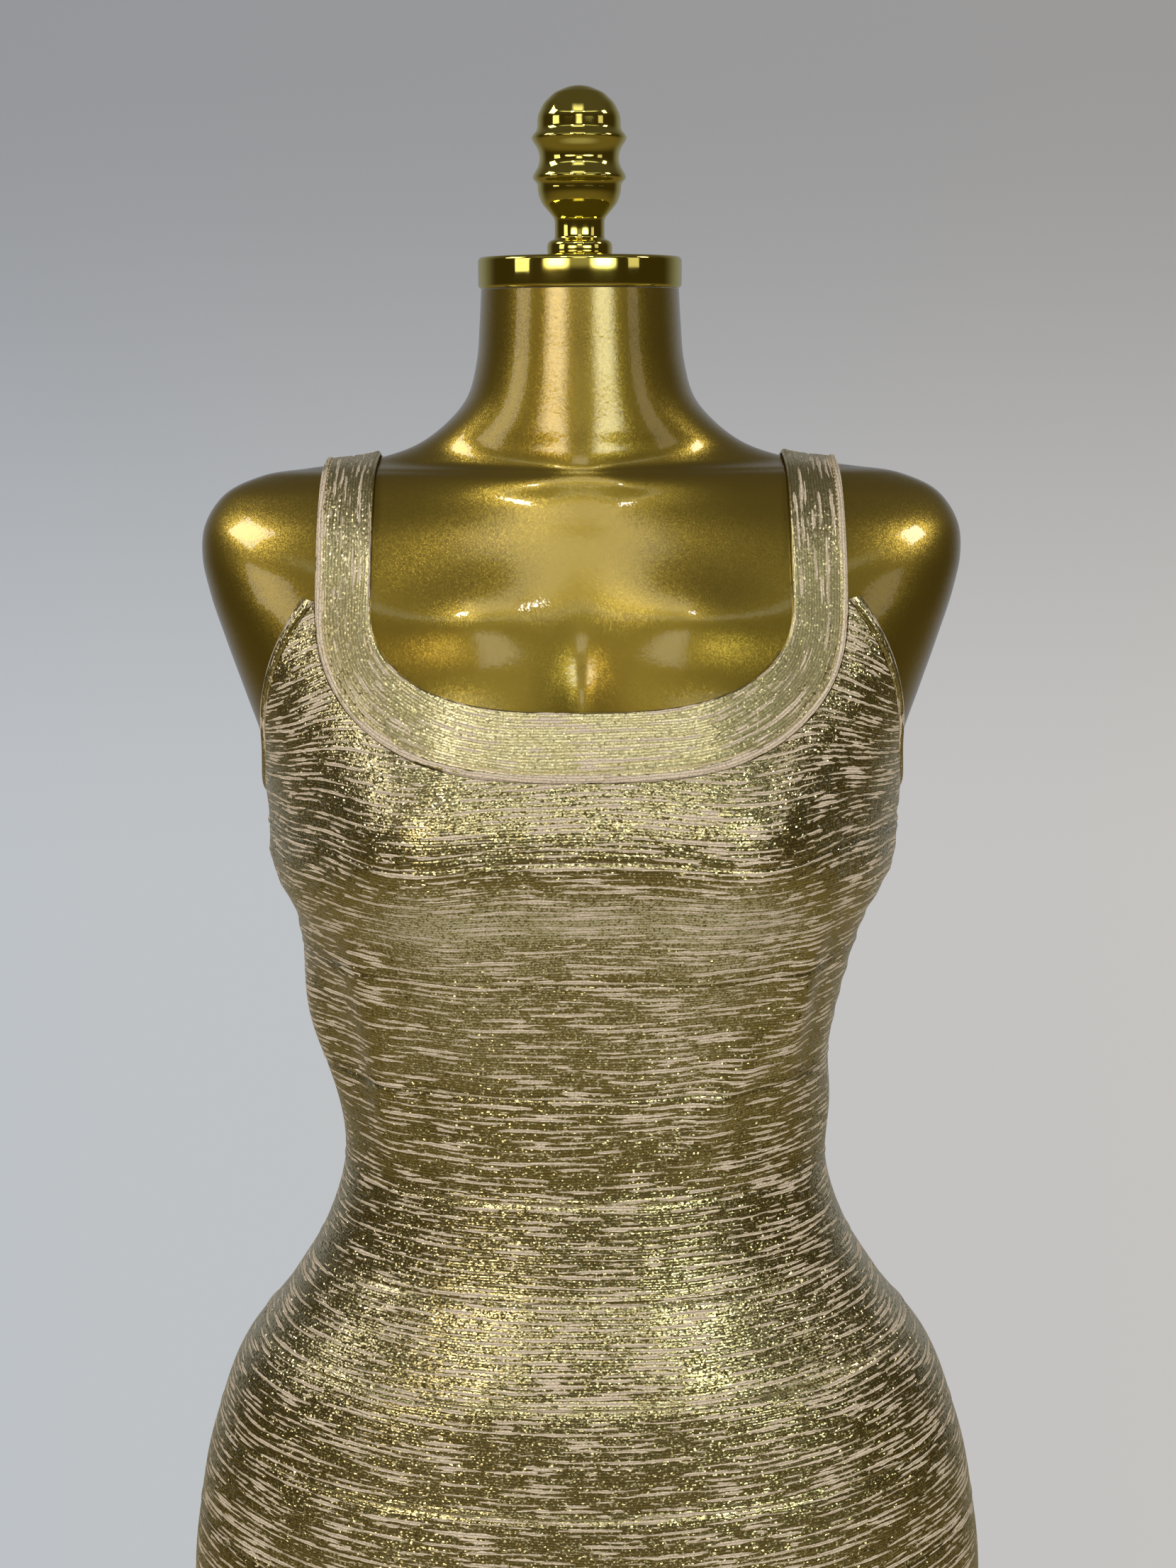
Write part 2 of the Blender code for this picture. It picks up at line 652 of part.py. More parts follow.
def binding_edge(turn, height, across, back):
    """Armhole edge moved across the cloth: square to the edge by this distance, staying on the surface."""
    facing = 180.0 - turn if back else turn
    radius = cloth_radius(facing, height)
    run = np.gradient(np.radians(turn)) * radius
    rise = np.gradient(height)
    length = np.hypot(run, rise)
    moved_turn = turn + np.degrees(-rise / length * across / radius)
    moved_height = height + run / length * across
    return panel_point(np.minimum(moved_turn, 90.0), moved_height, back)


def add_binding(name, side):
    """Narrow rolled binding along the armhole, from the front strap under the arm to the back strap."""
    grid = []
    for across in np.linspace(BINDING_GAP, BINDING_WIDTH, BINDING_ROWS + 1):
        front = binding_edge(*armhole_edge(False), across, False)
        back = binding_edge(*armhole_edge(True), across, True)
        grid.append(np.concatenate([front[:-1], back[::-1]]))
    inner = np.array(grid)
    inner[..., 0] *= side
    return add_wall(name, inner, moved_out(inner, BINDING_THICKNESS))


def add_form():
    """Limbless torso: the figure's rings, closed flat on the neck and with a rounded lower edge."""
    above = FIGURE["height"][FIGURE["height"] > ARMHOLE_BOTTOM]
    above = above[np.linspace(0, len(above) - 1, FORM_ROWS_ABOVE).astype(int)]
    below = np.linspace(ARMHOLE_BOTTOM, FORM_BOTTOM + FORM_EDGE, FORM_ROWS_BELOW)
    lower_edge = FORM_BOTTOM + FORM_EDGE * (1.0 - np.sin(np.linspace(0.0, np.pi / 2, FORM_ROWS_EDGE)))[1:]
    heights = np.concatenate([above, below[1:], lower_edge])
    turn = spread_turns(np.linspace(0.0, 2.0 * np.pi, FORM_COLUMNS, endpoint=False))[None, :]
    height = heights[:, None]
    edge = np.clip((height - FORM_BOTTOM) / FORM_EDGE, 0.0, 1.0)
    rounding = 1.0 - FORM_EDGE_INSET * (1.0 - np.sqrt(1.0 - (1.0 - edge) ** 2))
    radius = figure_radius(turn, height) * rounding
    x = radius * np.sin(np.radians(turn))
    y = -radius * np.cos(np.radians(turn))
    verts = np.stack([x, y, np.broadcast_to(height, x.shape)], axis=-1).reshape(-1, 3)
    return add_rings("form_body", verts, len(heights), FORM_COLUMNS, "gold_lacquer")


def add_rings(name, verts, rows, count, finish):
    """Closed body from rings of points, with a flat face at each end."""
    faces = []
    for i in range(rows - 1):
        for j in range(count):
            a, b = i * count + j, i * count + (j + 1) % count
            faces.append((a, b, b + count, a + count))
    faces.append(tuple(range(count)))
    faces.append(tuple((rows - 1) * count + j for j in range(count)))
    return add_object(name, verts, faces, finish)


def add_turned(name, profile, finish):
    """Body turned round the vertical axis from the rows of an outline."""
    outline = columns(profile, TURNED_OUTLINE_COLUMNS)
    height, radius = outline["height"], outline["radius"]
    angle = np.linspace(0.0, 2.0 * np.pi, TURNED_COLUMNS, endpoint=False)
    x = radius[:, None] * np.cos(angle)
    y = radius[:, None] * np.sin(angle)
    verts = np.stack([x, y, np.broadcast_to(height[:, None], x.shape)], axis=-1).reshape(-1, 3)
    return add_rings(name, verts, len(height), TURNED_COLUMNS, finish)


def raised(outline, lift):
    """The same outline, moved up."""
    return [(lift + height, radius) for height, radius in outline]


def add_cap_and_knob():
    low = NECK_TOP + SEAM_GAP
    high = low + CAP_HEIGHT
    cap = (
        (low, CAP_RADIUS - CAP_BEVEL),
        (low + CAP_BEVEL, CAP_RADIUS),
        (high - CAP_BEVEL, CAP_RADIUS),
        (high, CAP_RADIUS - CAP_BEVEL),
    )
    add_turned("neck_cap", cap, "gold_plating")
    add_turned("finial", raised(KNOB, high + SEAM_GAP), "gold_plating")


def add_stand():
    """Round foot, and the pole with its tapered collar below and its flange under the form."""
    add_turned("stand_base", BASE, "gold_plating")
    high = FORM_BOTTOM - SEAM_GAP
    flange = high - FLANGE_HEIGHT
    pole = raised(COLLAR, BASE[-1][0] + SEAM_GAP) + [
        (flange - FLANGE_CONE_HEIGHT, POLE_RADIUS),
        (flange, FLANGE_CONE_RADIUS),
        (flange + FLANGE_BEVEL, FLANGE_RADIUS),
        (high, FLANGE_RADIUS),
    ]
    add_turned("stand_pole", pole, "gold_plating")


def add_strips():
    """All the strips, front and back, from the bust down to the hem."""
    skirt = BODICE_SEAMS[-1] - SKIRT_STRIP * np.arange(1, SKIRT_STRIPS + 1)
    seams = np.concatenate([BODICE_SEAMS, skirt])
    for k in range(len(seams) - 1):
        rows = BODICE_ROWS if k < len(BODICE_SEAMS) - 1 else SKIRT_ROWS
        add_strip(f"front_strip_{k + 1:02d}", seams[k], seams[k + 1], rows, back=False)
        add_strip(f"back_strip_{k + 1:02d}", seams[k], seams[k + 1], rows, back=True)


def main():
    add_form()
    add_cap_and_knob()
    add_stand()
    add_strips()
    add_top_panel("bust_front", back=False)
    add_top_panel("upper_back", back=True)
    add_neck_band("neck_band_front", back=False)
    add_neck_band("neck_band_back", back=True)
    add_binding("armhole_binding_left", -1.0)
    add_binding("armhole_binding_right", 1.0)


main()
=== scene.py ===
# %% [markdown]
# # A bodycon dress on its dress form
#
# This lesson dresses a plain solid model. The solids give every piece its place and size. Here each
# one is replaced by a finer mesh with the finish of the real thing: knit with streaks of gold foil,
# metallic lacquer on the form, and polished plating on the knob, pole and foot.

import math

import bpy
import numpy as np
from mathutils import Matrix


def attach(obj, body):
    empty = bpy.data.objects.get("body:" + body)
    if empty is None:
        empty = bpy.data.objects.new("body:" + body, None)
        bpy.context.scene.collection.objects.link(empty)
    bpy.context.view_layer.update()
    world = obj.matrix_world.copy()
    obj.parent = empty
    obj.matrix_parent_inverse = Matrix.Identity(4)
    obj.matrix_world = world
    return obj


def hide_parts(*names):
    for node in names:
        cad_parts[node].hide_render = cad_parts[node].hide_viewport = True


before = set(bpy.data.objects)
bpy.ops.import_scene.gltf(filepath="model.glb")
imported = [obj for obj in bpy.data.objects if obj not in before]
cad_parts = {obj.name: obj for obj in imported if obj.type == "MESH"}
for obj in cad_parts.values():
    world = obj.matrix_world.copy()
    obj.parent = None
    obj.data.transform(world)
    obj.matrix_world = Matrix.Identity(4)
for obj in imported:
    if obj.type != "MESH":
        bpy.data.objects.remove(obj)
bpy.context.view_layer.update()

# %% [markdown]
# ## Sizes
#
# A dress form is drafted from level sections: at each height, how wide it is, how deep in front and
# behind, and how square its outline is. The same table drives the solids, so the finer pieces fit
# over them exactly. A turn is an angle round the body: 0 at the middle front, 90 at the +X side.

# %% Named sizes, in metres
CLOTH_THICKNESS = 0.0015
BAND_THICKNESS = 0.0020
BINDING_THICKNESS = 0.0024
CLEARANCE = 0.0015
SEAM_GAP = 0.0003
BINDING_GAP = 0.0006

NECK_TOP = 1.4551
RIDGE_TOP = 1.3780
WAIST = 1.0100
FORM_BOTTOM = 0.6600
CLOTH_LOWEST = 0.5200

SECTION_COLUMNS = ("height", "half_width", "front", "back", "power")
SECTIONS = (
    (1.4551, 0.0494, 0.0494, 0.0494, 2.0),
    (1.4391, 0.0503, 0.05, 0.051, 2.0),
    (1.419, 0.0522, 0.0508, 0.0542, 2.0),
    (1.402, 0.0572, 0.052, 0.06, 1.95),
    (1.389, 0.0682, 0.0532, 0.066, 1.75),
    (1.3802, 0.08, 0.054, 0.0695, 1.55),
    (1.3716, 0.104, 0.0552, 0.0725, 1.35),
    (1.3672, 0.137, 0.0565, 0.0745, 1.32),
    (1.3632, 0.162, 0.0582, 0.0765, 1.4),
    (1.3534, 0.1815, 0.062, 0.0805, 1.62),
    (1.3384, 0.1912, 0.069, 0.0855, 1.95),
    (1.324, 0.1925, 0.0755, 0.0895, 2.15),
    (1.3073, 0.1893, 0.0825, 0.093, 2.25),
    (1.2829, 0.1815, 0.092, 0.097, 2.3),
    (1.2557, 0.172, 0.1005, 0.099, 2.3),
    (1.23, 0.1632, 0.106, 0.099, 2.3),
    (1.2, 0.1575, 0.108, 0.097, 2.3),
    (1.165, 0.154, 0.1065, 0.092, 2.3),
    (1.13, 0.138, 0.101, 0.0855, 2.25),
    (1.09, 0.1265, 0.093, 0.079, 2.2),
    (1.05, 0.1225, 0.0865, 0.0755, 2.15),
    (1.01, 0.1205, 0.0835, 0.0765, 2.1),
    (0.98, 0.1235, 0.0855, 0.082, 2.1),
    (0.94, 0.1505, 0.094, 0.095, 2.15),
    (0.9, 0.1812, 0.102, 0.109, 2.2),
    (0.86, 0.1965, 0.1065, 0.121, 2.2),
    (0.82, 0.2055, 0.1085, 0.1285, 2.2),
    (0.77, 0.211, 0.109, 0.129, 2.2),
    (0.72, 0.211, 0.1085, 0.1225, 2.2),
    (0.66, 0.2075, 0.108, 0.116, 2.2),
    (0.53, 0.202, 0.108, 0.112, 2.2),
)
BUST_HEIGHT = 1.190
BUST_TURN = 34.0
BUST_RISE = 0.023
BUST_SPREAD = 20.0
BUST_ABOVE = 0.058
BUST_BELOW = 0.046
BRIDGE_REACH = 0.036
BRIDGE_TOP = 1.2300

HALVES = {False: "front", True: "back"}
STRAP_INNER = 0.1015
STRAP_OUTER = 0.1285
SCOOP_TOP = 1.3100
SCOOP_POWER = 2.7
SCOOP_LOWEST = {"front": (1.2570, 1.2252), "back": (1.2750, 1.2430)}
ARMHOLE_BOTTOM = 1.2000
ARMHOLE_TOP = 1.3060

BODICE_SEAMS = (0.1841, 0.1164, 0.0528, -0.0032, -0.0533, -0.1064, -0.1625)
SKIRT_STRIPS = 6
SKIRT_STRIP = 0.0540
SEAMS = [*BODICE_SEAMS, *(BODICE_SEAMS[-1] - SKIRT_STRIP * (k + 1) for k in range(SKIRT_STRIPS))]
print("strips in each half:", len(SEAMS) - 1)

# %% [markdown]
# ## The figure
#
# A smooth curve through the table's rows gives the section at any height. Round the body each section
# is a superellipse, which runs from a plain oval to a rounded box with one number, its power. Two soft
# bells make the bust. This could be sculpted, but a formula can be read, changed and repeated.

# %% A smooth curve through the sections
FIGURE_SAMPLES = 4000


def running(steps, axis=0):
    """Running sum of steps along an axis, with a 0 before the first."""
    return np.concatenate([np.zeros_like(steps.take([0], axis)), np.cumsum(steps, axis)], axis)


def path_length(points, axis=0):
    """Length along a path up to each of its points, the running sum of the steps between them."""
    return running(np.linalg.norm(np.diff(points, axis=axis), axis=-1), axis)


def smooth_rows(table):
    """Cubic through the rows: each stretch starts and ends with the slope of the chord between the
    rows beside it, and the rows are spaced by the length of their chords."""
    rows = np.array(table)
    along = path_length(rows[:, :2])
    slopes = np.gradient(rows, along, axis=0)
    where = np.linspace(0.0, along[-1], FIGURE_SAMPLES)
    low = np.clip(np.searchsorted(along, where, side="right") - 1, 0, len(along) - 2)
    span = (along[low + 1] - along[low])[:, None]
    t = (where - along[low])[:, None] / span
    start = (2 * t**3 - 3 * t**2 + 1) * rows[low] + (t**3 - 2 * t**2 + t) * span * slopes[low]
    end = (3 * t**2 - 2 * t**3) * rows[low + 1] + (t**3 - t**2) * span * slopes[low + 1]
    return start + end


FIGURE = dict(zip(SECTION_COLUMNS, smooth_rows(SECTIONS).T))
print("rows of the figure:", len(FIGURE["height"]))

# %% The figure as a function of turn and height
def bell(value, middle, reach):
    """The bell curve: exp(-((value - middle) / reach)^2)."""
    return np.exp(-(((value - middle) / reach) ** 2))


def section(name, height):
    """One column of the figure, read at any height."""
    return np.interp(-np.asarray(height), -FIGURE["height"], FIGURE[name])


def figure_radius(turn, height):
    """Distance from the axis: r = 1 / ((|sin| / half_width)^p + (|cos| / depth)^p)^(1/p), plus a bell
    for the bust, rise * exp(-(turn off its middle)^2 - (height off its middle)^2)."""
    angle = np.radians(turn)
    across, ahead = np.abs(np.sin(angle)), np.cos(angle)
    depth = np.where(ahead > 0, section("front", height), section("back", height))
    power = section("power", height)
    oval = (across / section("half_width", height)) ** power + (np.abs(ahead) / depth) ** power
    away = np.abs((np.asarray(turn) + 180.0) % 360.0 - 180.0) - BUST_TURN
    lift = np.asarray(height) - BUST_HEIGHT
    reach = np.where(lift > 0, BUST_ABOVE, BUST_BELOW)
    bust = BUST_RISE * np.exp(-((away / BUST_SPREAD) ** 2) - (lift / reach) ** 2)
    return oval ** (-1.0 / power) + bust


print("half width at the waist:", round(float(figure_radius(90.0, WAIST)), 4))

# %% [markdown]
# ## The taut cloth
#
# A stretch knit doesn't follow a hollow, it bridges it. So the cloth is the convex outline of each
# level section, evened out up and down, and then folded. Each fold is a bell on a slanting line, with
# its own place, length, width and height. The large ones are in the solids too, a little flatter. The
# small ones are placed where the knit creases: below the arms, over the waist, and in the small of the
# back. No two are alike, because a body never creases a dress evenly.

# %% Folds and creases
FOLD_COLUMNS = ("turn", "height", "turn_reach", "height_reach", "slant", "rise")
FOLDS = (
    (-57, 1.085, 7, 0.060, 30, 0.0052), (-86, 1.085, 11.5, 0.042, 0, 0.0125),
    (56, 1.105, 6, 0.048, -30, 0.0052), (88, 1.035, 9, 0.024, 0, 0.0036),
    (42, 1.065, 7, 0.030, 260, 0.0046), (29, 1.045, 6, 0.024, 260, -0.0022),
    (84, 1.180, 5, 0.030, -60, 0.0022), (-84, 1.175, 5, 0.026, 60, 0.0022),
    (128, 1.075, 8, 0.050, 40, 0.0030), (228, 1.085, 7, 0.045, -30, 0.0028),
    (168, 1.020, 22, 0.012, 0, 0.0030), (196, 1.048, 24, 0.010, 0, 0.0026),
)
CREASES = (
    (72, 1.198, 14, 0.0032, 0, 0.0008), (80, 1.186, 12, 0.0030, 0, 0.0009),
    (74, 1.174, 13, 0.0034, 0, 0.0007), (82, 1.163, 12, 0.0030, 0, 0.0009),
    (80, 1.150, 10, 0.0036, 0, 0.0008), (84, 1.138, 12, 0.0030, 0, 0.0008),
    (86, 1.124, 14, 0.0034, 0, 0.0007), (84, 1.110, 13, 0.0030, 0, 0.0008),
    (88, 1.096, 12, 0.0036, 0, 0.0007), (90, 1.083, 12, 0.0030, 0, 0.0007),
    (-78, 1.190, 12, 0.0034, 0, 0.0007), (-82, 1.174, 12, 0.0030, 0, 0.0008),
    (-80, 1.156, 10, 0.0036, 0, 0.0007), (-86, 1.133, 12, 0.0030, 0, 0.0007),
    (-66, 1.118, 8, 0.0040, 0, 0.0008), (-70, 1.098, 9, 0.0036, 0, 0.0008),
    (-27, 0.912, 13, 0.0230, 0, 0.0030), (29, 0.914, 14, 0.0230, 0, 0.0028),
    (48, 1.018, 9, 0.0060, 200, 0.0010), (36, 1.030, 8, 0.0070, 200, 0.0010),
    (-40, 1.035, 10, 0.0070, -160, 0.0009), (100, 1.190, 12, 0.0034, 0, 0.0007),
    (104, 1.172, 12, 0.0030, 0, 0.0008), (110, 1.142, 13, 0.0034, 0, 0.0007),
    (258, 1.186, 12, 0.0034, 0, 0.0008), (252, 1.166, 12, 0.0030, 0, 0.0007),
    (248, 1.130, 13, 0.0036, 0, 0.0008), (150, 1.036, 18, 0.0050, 0, 0.0010),
    (206, 1.030, 16, 0.0050, 0, 0.0010), (176, 1.063, 20, 0.0056, 0, 0.0010),
    (186, 1.002, 18, 0.0060, 0, 0.0009),
)


def fold_rise(turn, height, folds):
    """Sum of bells: rise * exp(-(turn off the slanting line / reach)^2 - (height off / reach)^2)."""
    total = np.zeros(np.broadcast(turn, height).shape)
    for row in folds:
        fold = dict(zip(FOLD_COLUMNS, row))
        up = height - fold["height"]
        away = (turn - fold["turn"] - fold["slant"] * up + 180.0) % 360.0 - 180.0
        bell = (away / fold["turn_reach"]) ** 2 + (up / fold["height_reach"]) ** 2
        total += fold["rise"] * np.exp(-bell)
    return total


print("folds:", len(FOLDS), "creases:", len(CREASES))

# %% The cloth's surface as a grid
GRID_ROWS = 572
GRID_HEIGHTS = np.linspace(CLOTH_LOWEST, RIDGE_TOP, GRID_ROWS)
GRID_TURNS = np.arange(0.0, 360.0, 1.0)
FACING_LIMIT = 0.2
ROUNDING_TURNS = 3


def stretched_section(radius):
    """Convex outline of one section: in each direction the support is the farthest reach, and the
    radius is the least of support / cos over the directions that face it."""
    angle = np.radians(GRID_TURNS)
    facing_share = np.cos(angle[:, None] - angle[None, :])
    support = (radius[None, :] * facing_share).max(axis=1)
    ahead = np.where(facing_share > FACING_LIMIT, facing_share, np.nan)
    return np.nanmin(support[:, None] / ahead, axis=0)


def evened(grid):
    """Moving average up and down each turn, made twice, so that the result has no corners."""
    reach = int(round(BRIDGE_REACH / (GRID_HEIGHTS[1] - GRID_HEIGHTS[0])))
    window = np.ones(2 * reach + 1) / (2 * reach + 1)
    for _ in range(2):
        padded = np.pad(grid, ((reach, reach), (0, 0)), mode="edge")
        grid = np.apply_along_axis(np.convolve, 0, padded, window, mode="valid")
    return grid


def rounded(grid):
    """Moving average round the body, which takes the fine corners out of the convex outline."""
    shifts = range(-ROUNDING_TURNS, ROUNDING_TURNS + 1)
    return sum(np.roll(grid, shift, axis=1) for shift in shifts) / len(shifts)


def cloth_grid():
    """The cloth's inner surface: the taut outline, plus the folds, and never inside the taut outline."""
    turns, heights = np.meshgrid(GRID_TURNS, GRID_HEIGHTS)
    bare = figure_radius(turns, heights)
    taut = rounded(np.array([stretched_section(row) for row in bare]))
    share = np.clip((BRIDGE_TOP - heights) / BRIDGE_REACH, 0.0, 1.0)
    bridged = taut + share * np.maximum(evened(taut) - taut, 0.0)
    folded = bridged + fold_rise(turns, heights, FOLDS) + fold_rise(turns, heights, CREASES)
    return np.maximum(folded, taut) + CLEARANCE


CLOTH = cloth_grid()
print("cloth grid:", CLOTH.shape, "reach:", CLOTH.min().round(4), CLOTH.max().round(4))

# %% [markdown]
# ## Reading the surface
#
# The pieces ask three things of the surface: how far out it lies at a turn and height, how far along
# the cloth a point is from the waist, and at what height such a length ends. All are tables on one
# grid, read between their points, so a whole piece is placed by a few array operations.

# %% Tables over turns
ALONG_LOW = -0.52
ALONG_HIGH = 0.42
ALONG_ROWS = 941


def read_grid(table, row, column, wrap):
    """Bilinear reading: the four values round a point, each weighted by how near the point is."""
    count = table.shape[1]
    low = np.clip(np.floor(row).astype(int), 0, table.shape[0] - 2)
    left = np.floor(column).astype(int)
    left = left if wrap else np.clip(left, 0, count - 2)
    t = np.clip(row - low, 0.0, 1.0)
    s = np.clip(column - left, 0.0, 1.0)
    left, right = left % count, (left + 1) % count
    lower = table[low, left] * (1 - s) + table[low, right] * s
    upper = table[low + 1, left] * (1 - s) + table[low + 1, right] * s
    return lower * (1 - t) + upper * t


def read_turns(table, row, turn):
    """Reads a table that goes round the body, at rows and turns of any shapes that match."""
    row, turn = np.broadcast_arrays(row, np.asarray(turn, float))
    return read_grid(table, row, turn % 360.0, wrap=True)


def height_row(height):
    """A height as a fractional row of the grid."""
    return (np.asarray(height, float) - GRID_HEIGHTS[0]) / (GRID_HEIGHTS[1] - GRID_HEIGHTS[0])


def cloth_radius(turn, height):
    """Distance from the axis to the cloth's inner surface."""
    return read_turns(CLOTH, height_row(height), turn)


def length_table():
    """Length up the cloth from the waist, the running sum of the steps between neighbouring rows."""
    length = running(np.hypot(np.diff(CLOTH, axis=0), np.diff(GRID_HEIGHTS)[:, None]))
    return length - read_turns(length, height_row(WAIST), GRID_TURNS)


LENGTHS = length_table()
ALONGS = np.linspace(ALONG_LOW, ALONG_HIGH, ALONG_ROWS)
HEIGHTS = np.stack([np.interp(ALONGS, column, GRID_HEIGHTS) for column in LENGTHS.T], axis=1)


def along_at(turn, height):
    """Length up the cloth from the waist to a height."""
    return read_turns(LENGTHS, height_row(height), turn)


def height_at(turn, along):
    """Height at which a length up the cloth from the waist ends."""
    row = (np.asarray(along, float) - ALONG_LOW) / (ALONGS[1] - ALONGS[0])
    return read_turns(HEIGHTS, row, turn)


print("length from waist to hem:", round(-SEAMS[-1], 3), "hem at", round(float(height_at(0, SEAMS[-1])), 3))

# %% Tables over side distances
DEPTH_TURNS = 361
DEPTH_COLUMNS = 241
WIDEST = 0.2400


def facing(turn, back):
    """A turn counted from a piece's own middle, as a turn round the body."""
    return 180.0 - turn if back else turn


def depth_table(radius, back):
    """Depth of the surface at even side distances, for each height of the grid."""
    turns = np.linspace(0.0, 90.0, DEPTH_TURNS)
    reach = radius(facing(turns, back)[None, :], GRID_HEIGHTS[:, None])
    side = np.maximum.accumulate(reach * np.sin(np.radians(turns)), axis=1)
    ahead = reach * np.cos(np.radians(turns))
    across = np.linspace(0.0, WIDEST, DEPTH_COLUMNS)
    return np.stack([np.interp(across, x, y) for x, y in zip(side, ahead)])


DEPTHS = {back: depth_table(cloth_radius, back) for back in HALVES}
BARE_DEPTHS = {back: depth_table(figure_radius, back) for back in HALVES}


def depth_at(x, height, back, tables=DEPTHS):
    """How far the surface lies in front of the axis plane, or behind it, at a side distance."""
    x, row = np.broadcast_arrays(np.abs(np.asarray(x, float)), height_row(height))
    return read_grid(tables[back], row, x / WIDEST * (DEPTH_COLUMNS - 1), wrap=False)


def placed(x, depth, height, back):
    """Points from side distances, depths and heights: -Y is the front's way out and +Y the back's."""
    return np.stack(np.broadcast_arrays(x, depth if back else -depth, height), axis=-1)


print("depth table:", DEPTHS[False].shape)

# %% [markdown]
# ## Straps pulled taut
#
# A strap takes the shortest way over the shoulder, so it stands clear of the hollow above the bust.
# That way is the convex outline of the figure's cut at the strap's side distance. Beside the straps
# the cloth is lifted to the same line, and eases back to the body.

# %% Taut lines over the shoulder
STRAP_LINE_MARGIN = 0.0005
STRAP_LINE_PAST = 0.0020
SAMPLES_BELOW = 90
SAMPLES_ABOVE = 260


def unit(vectors):
    """Vectors brought to length 1."""
    return vectors / np.linalg.norm(vectors, axis=-1)[..., None]


def outer_hull(points):
    """Corners of the convex outline that lies farthest out, for points sorted by their first value."""
    hull = []
    for point in points:
        while len(hull) > 1:
            (ax, ay), (bx, by) = hull[-2], hull[-1]
            if (bx - ax) * (point[1] - ay) - (by - ay) * (point[0] - ax) < 0:
                break
            hull.pop()
        hull.append(tuple(point))
    return np.array(hull)


def strap_line(x, back):
    """Taut line at a side distance, as depth and height: the convex outline, moved out square to
    itself by the clearance."""
    low = SCOOP_LOWEST["back"][1] if back else BUST_HEIGHT
    below = np.linspace(low, SCOOP_TOP, SAMPLES_BELOW)
    heights = np.concatenate([below, np.linspace(SCOOP_TOP, RIDGE_TOP, SAMPLES_ABOVE)[1:]])
    inside = heights[section("half_width", heights) > abs(x) + STRAP_LINE_MARGIN]
    near = depth_at(x, inside, back, BARE_DEPTHS)
    near = np.where(inside < SCOOP_TOP, depth_at(x, inside, back) - CLEARANCE, near)
    far = depth_at(x, inside, not back, BARE_DEPTHS)
    crown = np.array([[0.0, inside[-1] + STRAP_LINE_MARGIN]])
    points = [np.stack([-near, inside], axis=1), crown, np.stack([far, inside], axis=1)[::-1]]
    points = np.concatenate(points)
    hull = outer_hull(points[np.argsort(points[:, 0], kind="stable")])
    hull = hull[hull[:, 0] <= STRAP_LINE_PAST]
    steps = np.gradient(hull, axis=0)
    return hull + unit(np.stack([-steps[:, 1], steps[:, 0]], axis=1)) * CLEARANCE


print("corners of a strap's line:", len(strap_line(STRAP_OUTER, False)))

# %% Cloth lifted beside the straps
EASE_INNER = 0.0750
EASE_OUTER = 0.1500
EASE_LOW = 1.2100
EASE_HIGH = 1.2500
STRAP_TABLE_PAST = 0.0140
STRAP_TABLE_SIZE = (16, 111)


def ease(value, low, high):
    """Smooth step: 3t^2 - 2t^3, with t from 0 at low to 1 at high."""
    t = np.clip((value - low) / (high - low), 0.0, 1.0)
    return t * t * (3.0 - 2.0 * t)


def strap_table(back):
    """Depth of the taut line for a few side distances and many heights."""
    across = np.linspace(EASE_INNER, EASE_OUTER, STRAP_TABLE_SIZE[0])
    heights = np.linspace(EASE_LOW, ARMHOLE_TOP + STRAP_TABLE_PAST, STRAP_TABLE_SIZE[1])
    lines = [strap_line(x, back) for x in across]
    return across, heights, np.array([np.interp(heights, line[:, 1], -line[:, 0]) for line in lines])


STRAPS = {back: strap_table(back) for back in HALVES}


def strap_lift(x, height, depth, back):
    """How far the cloth at a point is raised: its share of the way from the body to the taut line."""
    x = np.abs(x)
    across, heights, table = STRAPS[back]
    row = np.interp(x, across, np.arange(len(across)))
    column = np.interp(height, heights, np.arange(len(heights)))
    taut = read_grid(table, row, column, wrap=False)
    share = ease(x, EASE_INNER, STRAP_INNER) * ease(-x, -EASE_OUTER, -STRAP_OUTER)
    share = share * ease(height, EASE_LOW, EASE_HIGH)
    return share * np.maximum(taut - depth, 0.0)


def lifted_depth(x, height, back):
    """Depth of the cloth near the neckline: the body's, raised beside the straps."""
    depth = depth_at(x, height, back)
    return depth + strap_lift(x, height, depth, back)


print("strap's depth at the scoop's top:", round(float(lifted_depth(0.115, SCOOP_TOP, False)), 4))

# %% [markdown]
# ## From a grid to a piece
#
# Each cloth piece is a closed shell between two grids of points. It carries a UV map in metres, with
# u along the knitted rows and v across them, so that every pattern on it has a real size. The finish
# reads that map, and so it follows the cloth round the body.

# %% From arrays to a mesh on the frame
SHARP_ANGLE = 0.9
PIECES = {}


def grid_quads(rows, count, closed=False):
    """Corner numbers of the quads between neighbouring rows and columns, as one array."""
    i = np.arange(rows - 1)[:, None]
    j = np.arange(count if closed else count - 1)[None, :]
    a = i * count + j
    b = i * count + (j + 1) % count
    return np.stack([a, b, b + count, a + count], axis=-1).reshape(-1, 4)


